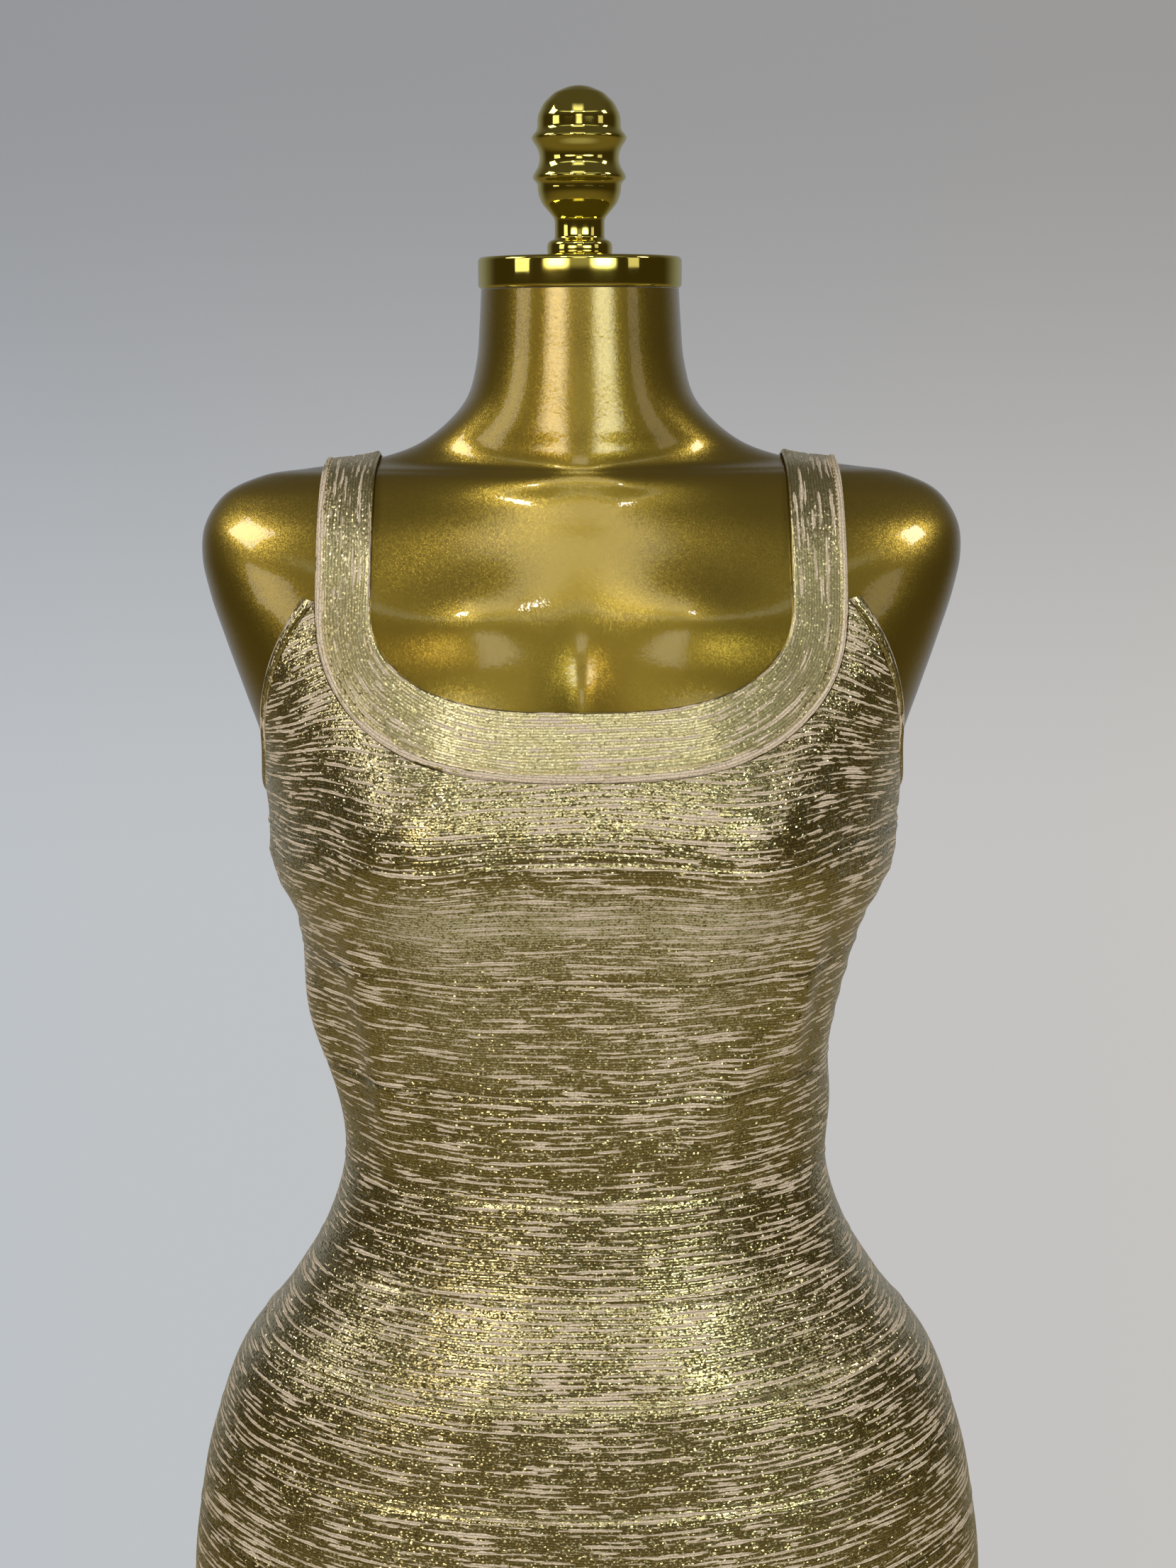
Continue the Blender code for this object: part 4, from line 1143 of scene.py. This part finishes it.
# %% Colour and node helpers
def linear(hex_value):
    """sRGB hex to linear: c / 12.92 below 0.04045, else ((c + 0.055) / 1.055)^2.4, for each channel."""
    channels = [int(hex_value[i:i + 2], 16) / 255.0 for i in (1, 3, 5)]
    return tuple(c / 12.92 if c <= 0.04045 else ((c + 0.055) / 1.055) ** 2.4 for c in channels) + (1.0,)


def add_node(tree, kind, sockets=None, **settings):
    """Adds a node, sets its options, and gives each named or numbered socket a value or a link. A
    node given as a value is linked by the first of its outputs that is in use."""
    made = tree.nodes.new("ShaderNode" + kind)
    for name, value in settings.items():
        setattr(made, name, value)
    for key, value in (sockets or {}).items():
        if isinstance(value, bpy.types.Node):
            value = next(socket for socket in value.outputs if socket.enabled)
        if isinstance(value, bpy.types.NodeSocket):
            tree.links.new(value, made.inputs[key])
        else:
            made.inputs[key].default_value = value
    return made


def new_material(name):
    """An empty material, and its tree of nodes."""
    made = bpy.data.materials.new(name)
    made.use_nodes = True
    made.node_tree.nodes.clear()
    return made, made.node_tree


print("gold, linear:", [round(c, 3) for c in linear("#E2D8A4")])

# %% [markdown]
# ### Foil-printed bandage knit
#
# The cloth is a rayon and elastane knit with fine rows. Gold foil is pressed on and then stretched, so
# it breaks along the rows into streaks with matte beige knit between them. The streaks' edges are a sum
# of noises, cut off sharply: one stretched 24 mm along the rows and 2.9 mm across them, a finer one
# that makes the ends ragged, and two large ones that bare some patches more than others. Foil is metal,
# so it is dark or bright by what it mirrors, and each loop of the knit tilts it a little, which makes
# it sparkle. A real loop is under half a millimetre, too fine to show in the render, so the loops are
# drawn 0.9 by 0.8 mm, and the rows 1.45 mm apart.

# %% Foil knit
ROW_PITCH = 0.0029
LOOP = (0.0009, 0.0008)  # coarser than the real loops, which are too fine to show
MASK_SOFTNESS = 0.020
RIB_WIDTH = 0.0032
RIB_SOFTNESS = 0.0006
WANDER = (0.070, 0.025)
WANDER_RISE = 0.0040
NOISE_COLUMNS = ("length", "height", "detail", "roughness")
NOISES = {
    "streak": (0.024, ROW_PITCH, 2.0, 0.55),
    "ragged": (0.006, 0.001, 1.0, 0.5),
    "blotch": (0.030, 0.008, 2.0, 0.6),
    "large": (0.110, 0.060, 1.0, 0.5),
    "shade": (0.020, 0.0035, 2.0, 0.5),
}


def cloth_pattern(tree):
    """What the knit gives to its finish: the distance from an edge, the rows' two waves, the noises
    and the loops. All but the first follow rows that wander up and down by 2 mm."""
    uv = add_node(tree, "UVMap", uv_map="cloth")
    per_metre = (1.0 / WANDER[0], 1.0 / WANDER[1], 1.0)
    wander = add_node(tree, "VectorMath", {0: uv, 1: per_metre}, operation="MULTIPLY")
    wander = {"Vector": wander, "Scale": 1.0, "Detail": 1.0}
    wander = add_node(tree, "TexNoise", wander, noise_dimensions="2D")
    rise = {0: wander, 1: WANDER_RISE, 2: -WANDER_RISE / 2}
    wander = add_node(tree, "CombineXYZ", {1: add_node(tree, "Math", rise, operation="MULTIPLY_ADD")})
    rows = add_node(tree, "VectorMath", {0: uv, 1: wander}, operation="ADD")
    made = {"from_edge": add_node(tree, "SeparateXYZ", {0: uv}).outputs["Y"]}
    across = add_node(tree, "SeparateXYZ", {0: rows}).outputs["Y"]
    for name, pitch in (("row_wave", ROW_PITCH), ("rib_wave", ROW_PITCH / 2)):
        angle = add_node(tree, "Math", {0: across, 1: 2.0 * math.pi / pitch}, operation="MULTIPLY")
        made[name] = add_node(tree, "Math", {0: angle}, operation="COSINE")
    for name, row in NOISES.items():
        size = dict(zip(NOISE_COLUMNS, row))
        per_metre = (1.0 / size["length"], 1.0 / size["height"], 1.0)
        place = add_node(tree, "VectorMath", {0: rows, 1: per_metre}, operation="MULTIPLY")
        sockets = {"Vector": place, "Scale": 1.0, "Detail": size["detail"], "Roughness": size["roughness"]}
        made[name] = add_node(tree, "TexNoise", sockets, noise_dimensions="2D")
    cells = {0: rows, 1: (1.0 / LOOP[0], 1.0 / LOOP[1], 1.0)}
    cells = add_node(tree, "VectorMath", cells, operation="MULTIPLY")
    made["loop"] = add_node(tree, "TexVoronoi", {"Vector": cells, "Scale": 1.0}, voronoi_dimensions="2D")
    return made


def foil_mask(tree, pattern, cover, row_pull, patches, bare_rib):
    """Share of foil: smooth step of the weighted sum of the noises, the row wave and the rib."""
    edge = {0: pattern["from_edge"], 1: RIB_WIDTH + RIB_SOFTNESS, 2: RIB_WIDTH}
    rib = add_node(tree, "MapRange", edge, interpolation_type="SMOOTHSTEP")
    weights = {"streak": 1.0, "ragged": 0.32, "blotch": patches, "large": 0.20}
    level = cover - 0.5 * sum(weights.values())
    terms = [(pattern[name], weight) for name, weight in weights.items()]
    for value, weight in (*terms, (pattern["row_wave"], row_pull), (rib, -bare_rib)):
        level = add_node(tree, "Math", {0: value, 1: weight, 2: level}, operation="MULTIPLY_ADD")
    step = {0: level, 1: -MASK_SOFTNESS, 2: MASK_SOFTNESS}
    return add_node(tree, "MapRange", step, interpolation_type="SMOOTHSTEP")


print("noises:", list(NOISES))

# %% Foil knit's colour, relief and sparkle
# Two colours of each that a noise mixes at random, then a darker third one for the painted shade in the
# loops' hollows and the rows' grooves.
KNIT_COLOURS = ("#CABCAE", "#E4D8C9", "#5E5046")
GOLD_COLOURS = ("#E2D8A4", "#F4EDCC", "#857746")
# Where the loops' hollows and the rows' grooves begin to take the painted shade, and how far the hollows
# are darkened.
HOLLOW_FROM = 0.40
HOLLOW_TO = 0.75
HOLLOW_SHADE = 0.5
ROW_GROOVE_FROM = 0.45
KNIT_ROUGHNESS = 0.80
RELIEF = {"row_wave": -0.000012, "rib_wave": -0.000014, "foil": -0.000003}


def cloth_colour(tree, pattern, groove):
    """Knit and gold between two shades each, with painted shade in the loops' hollows and the rows'
    grooves, where each is mixed towards its darker third colour.
    """
    hollow = {0: pattern["loop"].outputs["Distance"], 1: HOLLOW_FROM, 2: HOLLOW_TO, 4: HOLLOW_SHADE}
    hollow = add_node(tree, "MapRange", hollow, interpolation_type="SMOOTHSTEP")
    line = {0: pattern["rib_wave"], 1: ROW_GROOVE_FROM, 4: groove}
    line = add_node(tree, "MapRange", line, interpolation_type="SMOOTHSTEP")
    # The painted shade: the larger of the loops' hollow shade and the rows' groove shade.
    dark = add_node(tree, "Math", {0: hollow, 1: line}, operation="MAXIMUM")
    parts = []
    for first, second, painted_shade_colour in (KNIT_COLOURS, GOLD_COLOURS):
        shades = {0: pattern["shade"], 6: linear(first), 7: linear(second)}
        shades = add_node(tree, "Mix", shades, data_type="RGBA")
        parts.append(add_node(tree, "Mix", {0: dark, 6: shades, 7: linear(painted_shade_colour)}, data_type="RGBA"))
    return add_node(tree, "Mix", {0: pattern["foil"], 6: parts[0], 7: parts[1]}, data_type="RGBA")


def cloth_normal(tree, pattern, glitter):
    """A very low relief, plus a tilt for each loop: the fifth power of a random lean, so that few
    loops lean far and most lie flat."""
    height = 0.0
    for name, rise in RELIEF.items():
        height = add_node(tree, "Math", {0: pattern[name], 1: rise, 2: height}, operation="MULTIPLY_ADD")
    bump = add_node(tree, "Bump", {"Strength": 1.0, "Distance": 1.0, "Height": height})
    centred = {0: pattern["loop"].outputs["Color"], 1: (0.5, 0.5, 0.5)}
    lean = add_node(tree, "VectorMath", centred, operation="SUBTRACT")
    square = add_node(tree, "VectorMath", {0: lean, 1: lean}, operation="MULTIPLY")
    fourth = add_node(tree, "VectorMath", {0: square, 1: square}, operation="MULTIPLY")
    fifth = add_node(tree, "VectorMath", {0: fourth, 1: lean}, operation="MULTIPLY")
    tilt = add_node(tree, "VectorMath", {0: fifth, "Scale": glitter}, operation="SCALE")
    tilted = add_node(tree, "VectorMath", {0: bump, 1: tilt}, operation="ADD")
    return add_node(tree, "VectorMath", {0: tilted}, operation="NORMALIZE")


def foil_knit_material(name, cover, row_pull, patches, bare_rib, groove, glitter, foil_roughness):
    """Foil over knit. A higher cover leaves fewer gaps, row_pull draws the gaps into even rows,
    patches is how far the foil comes off in patches, bare_rib how much of it is gone on the rib,
    groove how much painted shade darkens the rows' grooves, and glitter how far a loop may tilt its bit of
    foil."""
    made, tree = new_material(name)
    pattern = cloth_pattern(tree)
    foil = foil_mask(tree, pattern, cover, row_pull, patches, bare_rib)
    pattern["foil"] = foil
    shader = add_node(tree, "BsdfPrincipled", {
        "Base Color": cloth_colour(tree, pattern, groove), "Metallic": foil,
        "Roughness": add_node(tree, "MapRange", {0: foil, 3: KNIT_ROUGHNESS, 4: foil_roughness}),
        "Normal": cloth_normal(tree, pattern, glitter),
        "Sheen Weight": 0.12, "Sheen Roughness": 0.4, "Sheen Tint": linear("#E8DCC8"),
    })
    add_node(tree, "OutputMaterial", {0: shader})
    return made


# groove sets how much painted shade darkens the rows' grooves.
strip_finish = foil_knit_material("foil_printed_bandage_knit", cover=0.115, row_pull=0.12, patches=0.46,
                                  bare_rib=0.0, groove=0.70, glitter=15.0, foil_roughness=0.22)
band_finish = foil_knit_material("foil_printed_band_knit", cover=0.17, row_pull=0.12, patches=0.72,
                                 bare_rib=0.38, groove=0.66, glitter=8.0, foil_roughness=0.32)
for node, piece in PIECES.items():
    if piece.data.uv_layers:
        piece.data.materials.append(band_finish if "band" in node else strip_finish)
print("foil finishes:", strip_finish.name, band_finish.name)

# %% [markdown]
# ### Sewing thread
#
# Spun polyester thread in the beige of the knit: matte, with a faint sheen. Its 1 mm flecks stand for
# the ply.

# %% Thread
def thread_material():
    made, tree = new_material("spun_polyester_thread")
    place = add_node(tree, "TexCoord").outputs["Object"]
    speck = add_node(tree, "TexNoise", {"Vector": place, "Scale": 900.0, "Detail": 1.0})
    shades = {0: speck, 6: linear("#B59F7C"), 7: linear("#D9C79A")}
    colour = add_node(tree, "Mix", shades, data_type="RGBA")
    shader = {"Base Color": colour, "Roughness": 0.6, "Sheen Weight": 0.2}
    add_node(tree, "OutputMaterial", {0: add_node(tree, "BsdfPrincipled", shader)})
    return made


thread = thread_material()
for piece in STITCHES.values():
    piece.data.materials.append(thread)
print("thread on", len(STITCHES), "rows")

# %% [markdown]
# ### Metallic lacquer
#
# The form is sprayed with gold lacquer: fine metal flakes in a tinted film, under a clear coat. The
# flakes spread the light softly, so the base is metallic and fairly rough, and each flake tilts it a
# little. Real flakes are too fine to show, so they are drawn 0.5 mm wide. The clear coat gives the
# small sharp highlights, and its slight orange peel, a ripple about 2.4 mm long, roughens their edges.

# %% Lacquer
FLAKE_SIZE = 0.0005
FLAKE_TILT = 0.10
PEEL_LENGTH = 0.0024
PEEL_HEIGHT = 0.00005
CLOUDS_PER_METRE = 14.0


def lacquer_material():
    made, tree = new_material("sprayed_gold_lacquer")
    place = add_node(tree, "TexCoord").outputs["Object"]
    cloud = add_node(tree, "TexNoise", {"Vector": place, "Scale": CLOUDS_PER_METRE, "Detail": 3.0})
    shades = {0: cloud, 6: linear("#9B8532"), 7: linear("#AB9540")}
    colour = add_node(tree, "Mix", shades, data_type="RGBA")
    flake = add_node(tree, "TexVoronoi", {"Vector": place, "Scale": 1.0 / FLAKE_SIZE}).outputs["Color"]
    lean = add_node(tree, "VectorMath", {0: flake, 1: (0.5, 0.5, 0.5)}, operation="SUBTRACT")
    tilt = add_node(tree, "VectorMath", {0: lean, "Scale": FLAKE_TILT}, operation="SCALE")
    plain = add_node(tree, "NewGeometry").outputs["Normal"]
    tilted = add_node(tree, "VectorMath", {0: plain, 1: tilt}, operation="ADD")
    flaked = add_node(tree, "VectorMath", {0: tilted}, operation="NORMALIZE")
    peel = add_node(tree, "TexNoise", {"Vector": place, "Scale": 1.0 / PEEL_LENGTH, "Detail": 1.0})
    coat = add_node(tree, "Bump", {"Strength": 1.0, "Distance": PEEL_HEIGHT, "Height": peel})
    shader = add_node(tree, "BsdfPrincipled", {
        "Base Color": colour, "Metallic": 0.92, "Roughness": 0.31, "Normal": flaked,
        "Coat Weight": 1.0, "Coat Roughness": 0.07, "Coat Normal": coat,
    })
    add_node(tree, "OutputMaterial", {0: shader})
    return made


PIECES["form_body"].data.materials.append(lacquer_material())
print("lacquer on", PIECES["form_body"].name)

# %% [markdown]
# ### Polished plating
#
# The cap, knob, pole and foot are steel or zinc, polished and plated in a gold colour. Plating mirrors
# the room sharply. A faint cloudiness where it has been wiped changes the roughness a little.

# %% Plating
WIPES_PER_METRE = 60.0


def plating_material():
    made, tree = new_material("polished_gold_plating")
    place = add_node(tree, "TexCoord").outputs["Object"]
    wiped = add_node(tree, "TexNoise", {"Vector": place, "Scale": WIPES_PER_METRE, "Detail": 3.0})
    roughness = add_node(tree, "MapRange", {0: wiped, 1: 0.3, 2: 0.7, 3: 0.04, 4: 0.09})
    shades = {0: wiped, 6: linear("#DACB66"), 7: linear("#E4D87C")}
    colour = add_node(tree, "Mix", shades, data_type="RGBA")
    shader = {"Base Color": colour, "Metallic": 1.0, "Roughness": roughness}
    add_node(tree, "OutputMaterial", {0: add_node(tree, "BsdfPrincipled", shader)})
    return made


plating = plating_material()
for _, node, *_ in TURNED:
    PIECES[node].data.materials.append(plating)
print("plating on", len(TURNED), "pieces")

# %% [markdown]
# ## Cut sizes
#
# The size that each cloth piece was cut to, before the form stretched it, is worked out from its worn
# size. A bandage knit is cut narrower than the body: here each strip is stretched about 12 % round the
# body. The neck band and the bindings are knitted to shape, so they are cut as long as they are worn.

STRETCH = 1.12
STRIP_CUT = 0.0550
PANEL_CUTS = {"bust_front": (0.400, 0.110), "upper_back": (0.380, 0.110)}
BAND_CUT = 0.032


def row_length(piece):
    """Worn length of a strip: the span of its UV map along u."""
    uv = np.empty(len(piece.data.loops) * 2, np.float32)
    piece.data.uv_layers["cloth"].data.foreach_get("uv", uv)
    return float(uv[::2].max() - uv[::2].min())


def face_area(piece):
    """Worn area of one face of the cloth: half the closed shell's."""
    area = np.empty(len(piece.data.polygons), np.float32)
    piece.data.polygons.foreach_get("area", area)
    return float(area.sum()) / 2.0


for node, piece in PIECES.items():
    if "strip" in node:
        cut = (round(row_length(piece) / STRETCH, 3), STRIP_CUT)
    elif node in PANEL_CUTS:
        face_area(piece) / STRETCH
    elif "neck_band" in node:
        cut = (round(row_length(piece), 3), BAND_CUT)
    elif "binding" in node:
        length = round(row_length(piece), 3)
print("panel areas:", [round(face_area(PIECES[node]), 4) for node in PANEL_CUTS])

# %% [markdown]
# ## Camera
#
# The photograph was taken from about 1.24 m away, at neck height, looking down by 10 degrees. Its long
# side of 2212 pixels spans the 36 mm sensor, which gives a lens of 56 mm.

# %% Camera
PICTURE_WIDTH, PICTURE_HEIGHT = 1659, 2212
SENSOR = 36.0
FOCAL_PIXELS = 3427.0
AXIS_PIXEL = 822.0
CAMERA_DISTANCE = 1.238
CAMERA_HEIGHT = 1.43
TILT = math.radians(10.35)
ROLL = math.radians(0.30)

camera_data = bpy.data.cameras.new("camera")
camera_data.sensor_width = SENSOR
camera_data.lens = FOCAL_PIXELS / PICTURE_HEIGHT * SENSOR
camera = bpy.data.objects.new("camera", camera_data)
bpy.context.scene.collection.objects.link(camera)
level_up = np.array([0.0, math.sin(TILT), math.cos(TILT)])
ahead = np.array([0.0, math.cos(TILT), -math.sin(TILT)])
side = np.array([1.0, 0.0, 0.0])
right = side * math.cos(ROLL) - level_up * math.sin(ROLL)
up = side * math.sin(ROLL) + level_up * math.cos(ROLL)
offset = (PICTURE_WIDTH / 2 - AXIS_PIXEL) / FOCAL_PIXELS * CAMERA_DISTANCE
turning = Matrix(np.stack([right, up, -ahead], axis=1).tolist()).to_4x4()
camera.matrix_world = Matrix.Translation((offset, -CAMERA_DISTANCE, CAMERA_HEIGHT)) @ turning
bpy.context.scene.camera = camera
print("lens:", round(camera_data.lens, 2), "mm")

# %% [markdown]
# ## Floor and light
#
# A pale floor fades out into a pale backdrop, which is all that the camera sees round the object.
# Polished gold shows what stands round it. So the surroundings that the pieces mirror are drawn into
# the world's light: a room that is dark in front and paler behind, with a few bright openings. Each is
# the product of smooth steps over the axes of a direction. Soft lamps above and at the sides give the
# small highlights, and large fills that nothing mirrors light the matte knit.

# %% Floor
FLOOR_RADIUS = 1.4
FLOOR_HOLE = 0.001
FLOOR_SOLID = 0.5
FLOOR_GONE = 0.97
FLOOR_COLUMNS = 96


def add_floor():
    """A flat ring of quads, with a finish that turns clear towards its rim."""
    angle = circle(FLOOR_COLUMNS)
    radii = np.array([FLOOR_HOLE, FLOOR_RADIUS])[:, None]
    rings = placed(radii * np.cos(angle), radii * np.sin(angle), 0.0, back=True)
    floor = make_mesh("floor", rings.reshape(-1, 3), grid_quads(2, FLOOR_COLUMNS, closed=True))
    made, tree = new_material("matte_studio_floor")
    place = add_node(tree, "TexCoord").outputs["Object"]
    reach = add_node(tree, "VectorMath", {0: place}, operation="LENGTH").outputs["Value"]
    fade = {0: reach, 1: FLOOR_SOLID, 2: FLOOR_RADIUS * FLOOR_GONE}
    fade = add_node(tree, "MapRange", fade, interpolation_type="SMOOTHSTEP")
    matte = add_node(tree, "BsdfDiffuse", {0: linear("#D6D7DA")})
    clear = add_node(tree, "BsdfTransparent")
    add_node(tree, "OutputMaterial", {0: add_node(tree, "MixShader", {0: fade, 1: matte, 2: clear})})
    floor.data.materials.append(made)
    return floor


print("floor:", add_floor().name)

# %% Surroundings
FRONT_COLOUR = "#3C331B"
ROOM = (
    ("y", 0.30, 0.90, "#8E9096"),
    ("z", -0.10, -0.58, "#746741"),
    ("z", 0.15, 0.85, "#565144"),
)
# Each opening has its colours at the left and right, its strength, and its steps: an axis, where the
# step starts, where it is full, and what it starts from.
OPENINGS = {
    "windows": ("#F4E4C4", "#EDF0D8", 9.5, (("y", -0.72, -0.86, 0.0), ("z", 0.03, 0.08, 0.0),
                                            ("z", 0.19, 0.12, 0.0), ("aside", 0.16, 0.38, 0.04))),
    "ceiling": ("#F0F3D8", "#F0F3D8", 1.3, (("z", 0.53, 0.59, 0.0), ("z", 0.66, 0.59, 0.0),
                                            ("y", -0.22, -0.42, 0.0), ("aside", 0.78, 0.58, 0.0))),
    "skylight": ("#F6F3E4", "#F6F3E4", 1.7, (("z", 0.64, 0.72, 0.0), ("z", 0.87, 0.80, 0.0),
                                             ("y", -0.10, -0.30, 0.0), ("x", -0.30, -0.16, 0.0),
                                             ("x", 0.22, 0.10, 0.0))),
    "doorway": ("#F6F3E4", "#F6F3E4", 2.2, (("y", -0.62, -0.80, 0.0), ("z", 0.15, 0.23, 0.0),
                                            ("z", 0.40, 0.32, 0.0), ("aside", 0.18, 0.06, 0.0))),
}
TINT_ACROSS = (-0.5, 0.5)
BACKDROP = (("#BDC2C6", "#C6C3C0"), ("#95979B", "#9C9A99"))
BACKDROP_ACROSS = (-0.25, 0.25)
BACKDROP_CLIMB = (-0.22, 0.12)


def mirrored_room(tree, axes):
    """The room's colour for a direction: the walls first, and then the openings laid over them."""
    room = linear(FRONT_COLOUR)
    for axis, start, full, colour in ROOM:
        share = {0: axes[axis], 1: start, 2: full}
        share = add_node(tree, "MapRange", share, interpolation_type="SMOOTHSTEP")
        room = add_node(tree, "Mix", {0: share, 6: room, 7: linear(colour)}, data_type="RGBA")
    across = add_node(tree, "MapRange", {0: axes["x"], 1: TINT_ACROSS[0], 2: TINT_ACROSS[1]})
    for left, right, strength, steps in OPENINGS.values():
        glow = [(*(strength * c for c in linear(colour)[:3]), 1.0) for colour in (left, right)]
        tint = add_node(tree, "Mix", {0: across, 6: glow[0], 7: glow[1]}, data_type="RGBA")
        shape = 1.0
        for axis, start, full, least in steps:
            share = {0: axes[axis], 1: start, 2: full, 3: least}
            share = add_node(tree, "MapRange", share, interpolation_type="SMOOTHSTEP")
            shape = add_node(tree, "Math", {0: shape, 1: share}, operation="MULTIPLY")
        room = add_node(tree, "Mix", {0: shape, 6: room, 7: tint}, data_type="RGBA")
    return room


def plain_backdrop(tree, axes):
    """What the camera sees: pale grey, a little darker above and a little warmer at the right."""
    across = add_node(tree, "MapRange", {0: axes["x"], 1: BACKDROP_ACROSS[0], 2: BACKDROP_ACROSS[1]})
    lower, upper = (add_node(tree, "Mix", {0: across, 6: linear(left), 7: linear(right)}, data_type="RGBA")
                    for left, right in BACKDROP)
    climb = {0: axes["z"], 1: BACKDROP_CLIMB[0], 2: BACKDROP_CLIMB[1]}
    climb = add_node(tree, "MapRange", climb, interpolation_type="SMOOTHSTEP")
    return add_node(tree, "Mix", {0: climb, 6: lower, 7: upper}, data_type="RGBA")


def add_surroundings():
    """The world's light: the room for what the pieces mirror, the backdrop for the camera."""
    world = bpy.data.worlds.new("studio")
    bpy.context.scene.world = world
    world.use_nodes = True
    tree = world.node_tree
    tree.nodes.clear()
    direction = add_node(tree, "TexCoord").outputs["Generated"]
    axes = dict(zip("xyz", add_node(tree, "SeparateXYZ", {0: direction}).outputs))
    axes["aside"] = add_node(tree, "Math", {0: axes["x"]}, operation="ABSOLUTE")
    seen = add_node(tree, "LightPath").outputs["Is Camera Ray"]
    views = {0: seen, 6: mirrored_room(tree, axes), 7: plain_backdrop(tree, axes)}
    colour = add_node(tree, "Mix", views, data_type="RGBA")
    add_node(tree, "OutputWorld", {0: add_node(tree, "Background", {0: colour})})


add_surroundings()
print("openings:", list(OPENINGS))

# %% Lights
LIGHT_COLOUR = "#FFF8EC"
LIGHT_TARGET = (0.0, 0.0, 1.15)
# Name, place, width, height, watts, and whether polished pieces mirror it.
LIGHTS = (
    ("lamp_left", (-0.54, -1.47, 2.69), 0.20, 0.16, 3.0, True),
    ("lamp_right", (0.39, -1.51, 2.69), 0.09, 0.09, 1.1, True),
    ("side_left", (-1.70, -0.05, 2.62), 0.70, 0.60, 8.5, True),
    ("side_right", (1.80, -0.20, 2.60), 0.40, 0.40, 5.5, True),
    ("low_left", (-1.90, -0.80, 1.80), 0.70, 0.60, 2.4, True),
    ("low_right", (1.80, -0.95, 1.80), 0.50, 0.50, 0.7, True),
    ("fill_front", (-0.15, -2.30, 1.35), 1.20, 1.00, 14.5, False),
    ("fill_left", (-1.70, -1.20, 1.20), 0.80, 0.80, 10.0, False),
    ("fill_right", (1.70, -1.30, 1.15), 0.80, 0.80, 13.0, False),
    ("fill_back", (0.30, 2.00, 2.20), 1.40, 1.00, 12.0, False),
)


def add_light(name, place, width, height, watts, mirrored):
    """An area light turned to the form. A fill light that isn't mirrored stands for one behind a
    crossed polarising filter, which lights matte knit and leaves no highlight on metal."""
    data = bpy.data.lights.new(name, "AREA")
    data.shape = "RECTANGLE"
    data.size, data.size_y = width, height
    data.energy = watts
    data.color = linear(LIGHT_COLOUR)[:3]
    lamp = bpy.data.objects.new(name, data)
    bpy.context.scene.collection.objects.link(lamp)
    away = unit(np.array(place) - np.array(LIGHT_TARGET))
    level = unit(np.cross([0.0, 0.0, 1.0], away))
    turned_to = Matrix(np.stack([level, np.cross(away, level), away], axis=1).tolist()).to_4x4()
    lamp.matrix_world = Matrix.Translation(place) @ turned_to
    lamp.visible_glossy = mirrored
    return lamp


bpy.context.scene.view_settings.view_transform = "Standard"
print("lights:", [add_light(*row).name for row in LIGHTS])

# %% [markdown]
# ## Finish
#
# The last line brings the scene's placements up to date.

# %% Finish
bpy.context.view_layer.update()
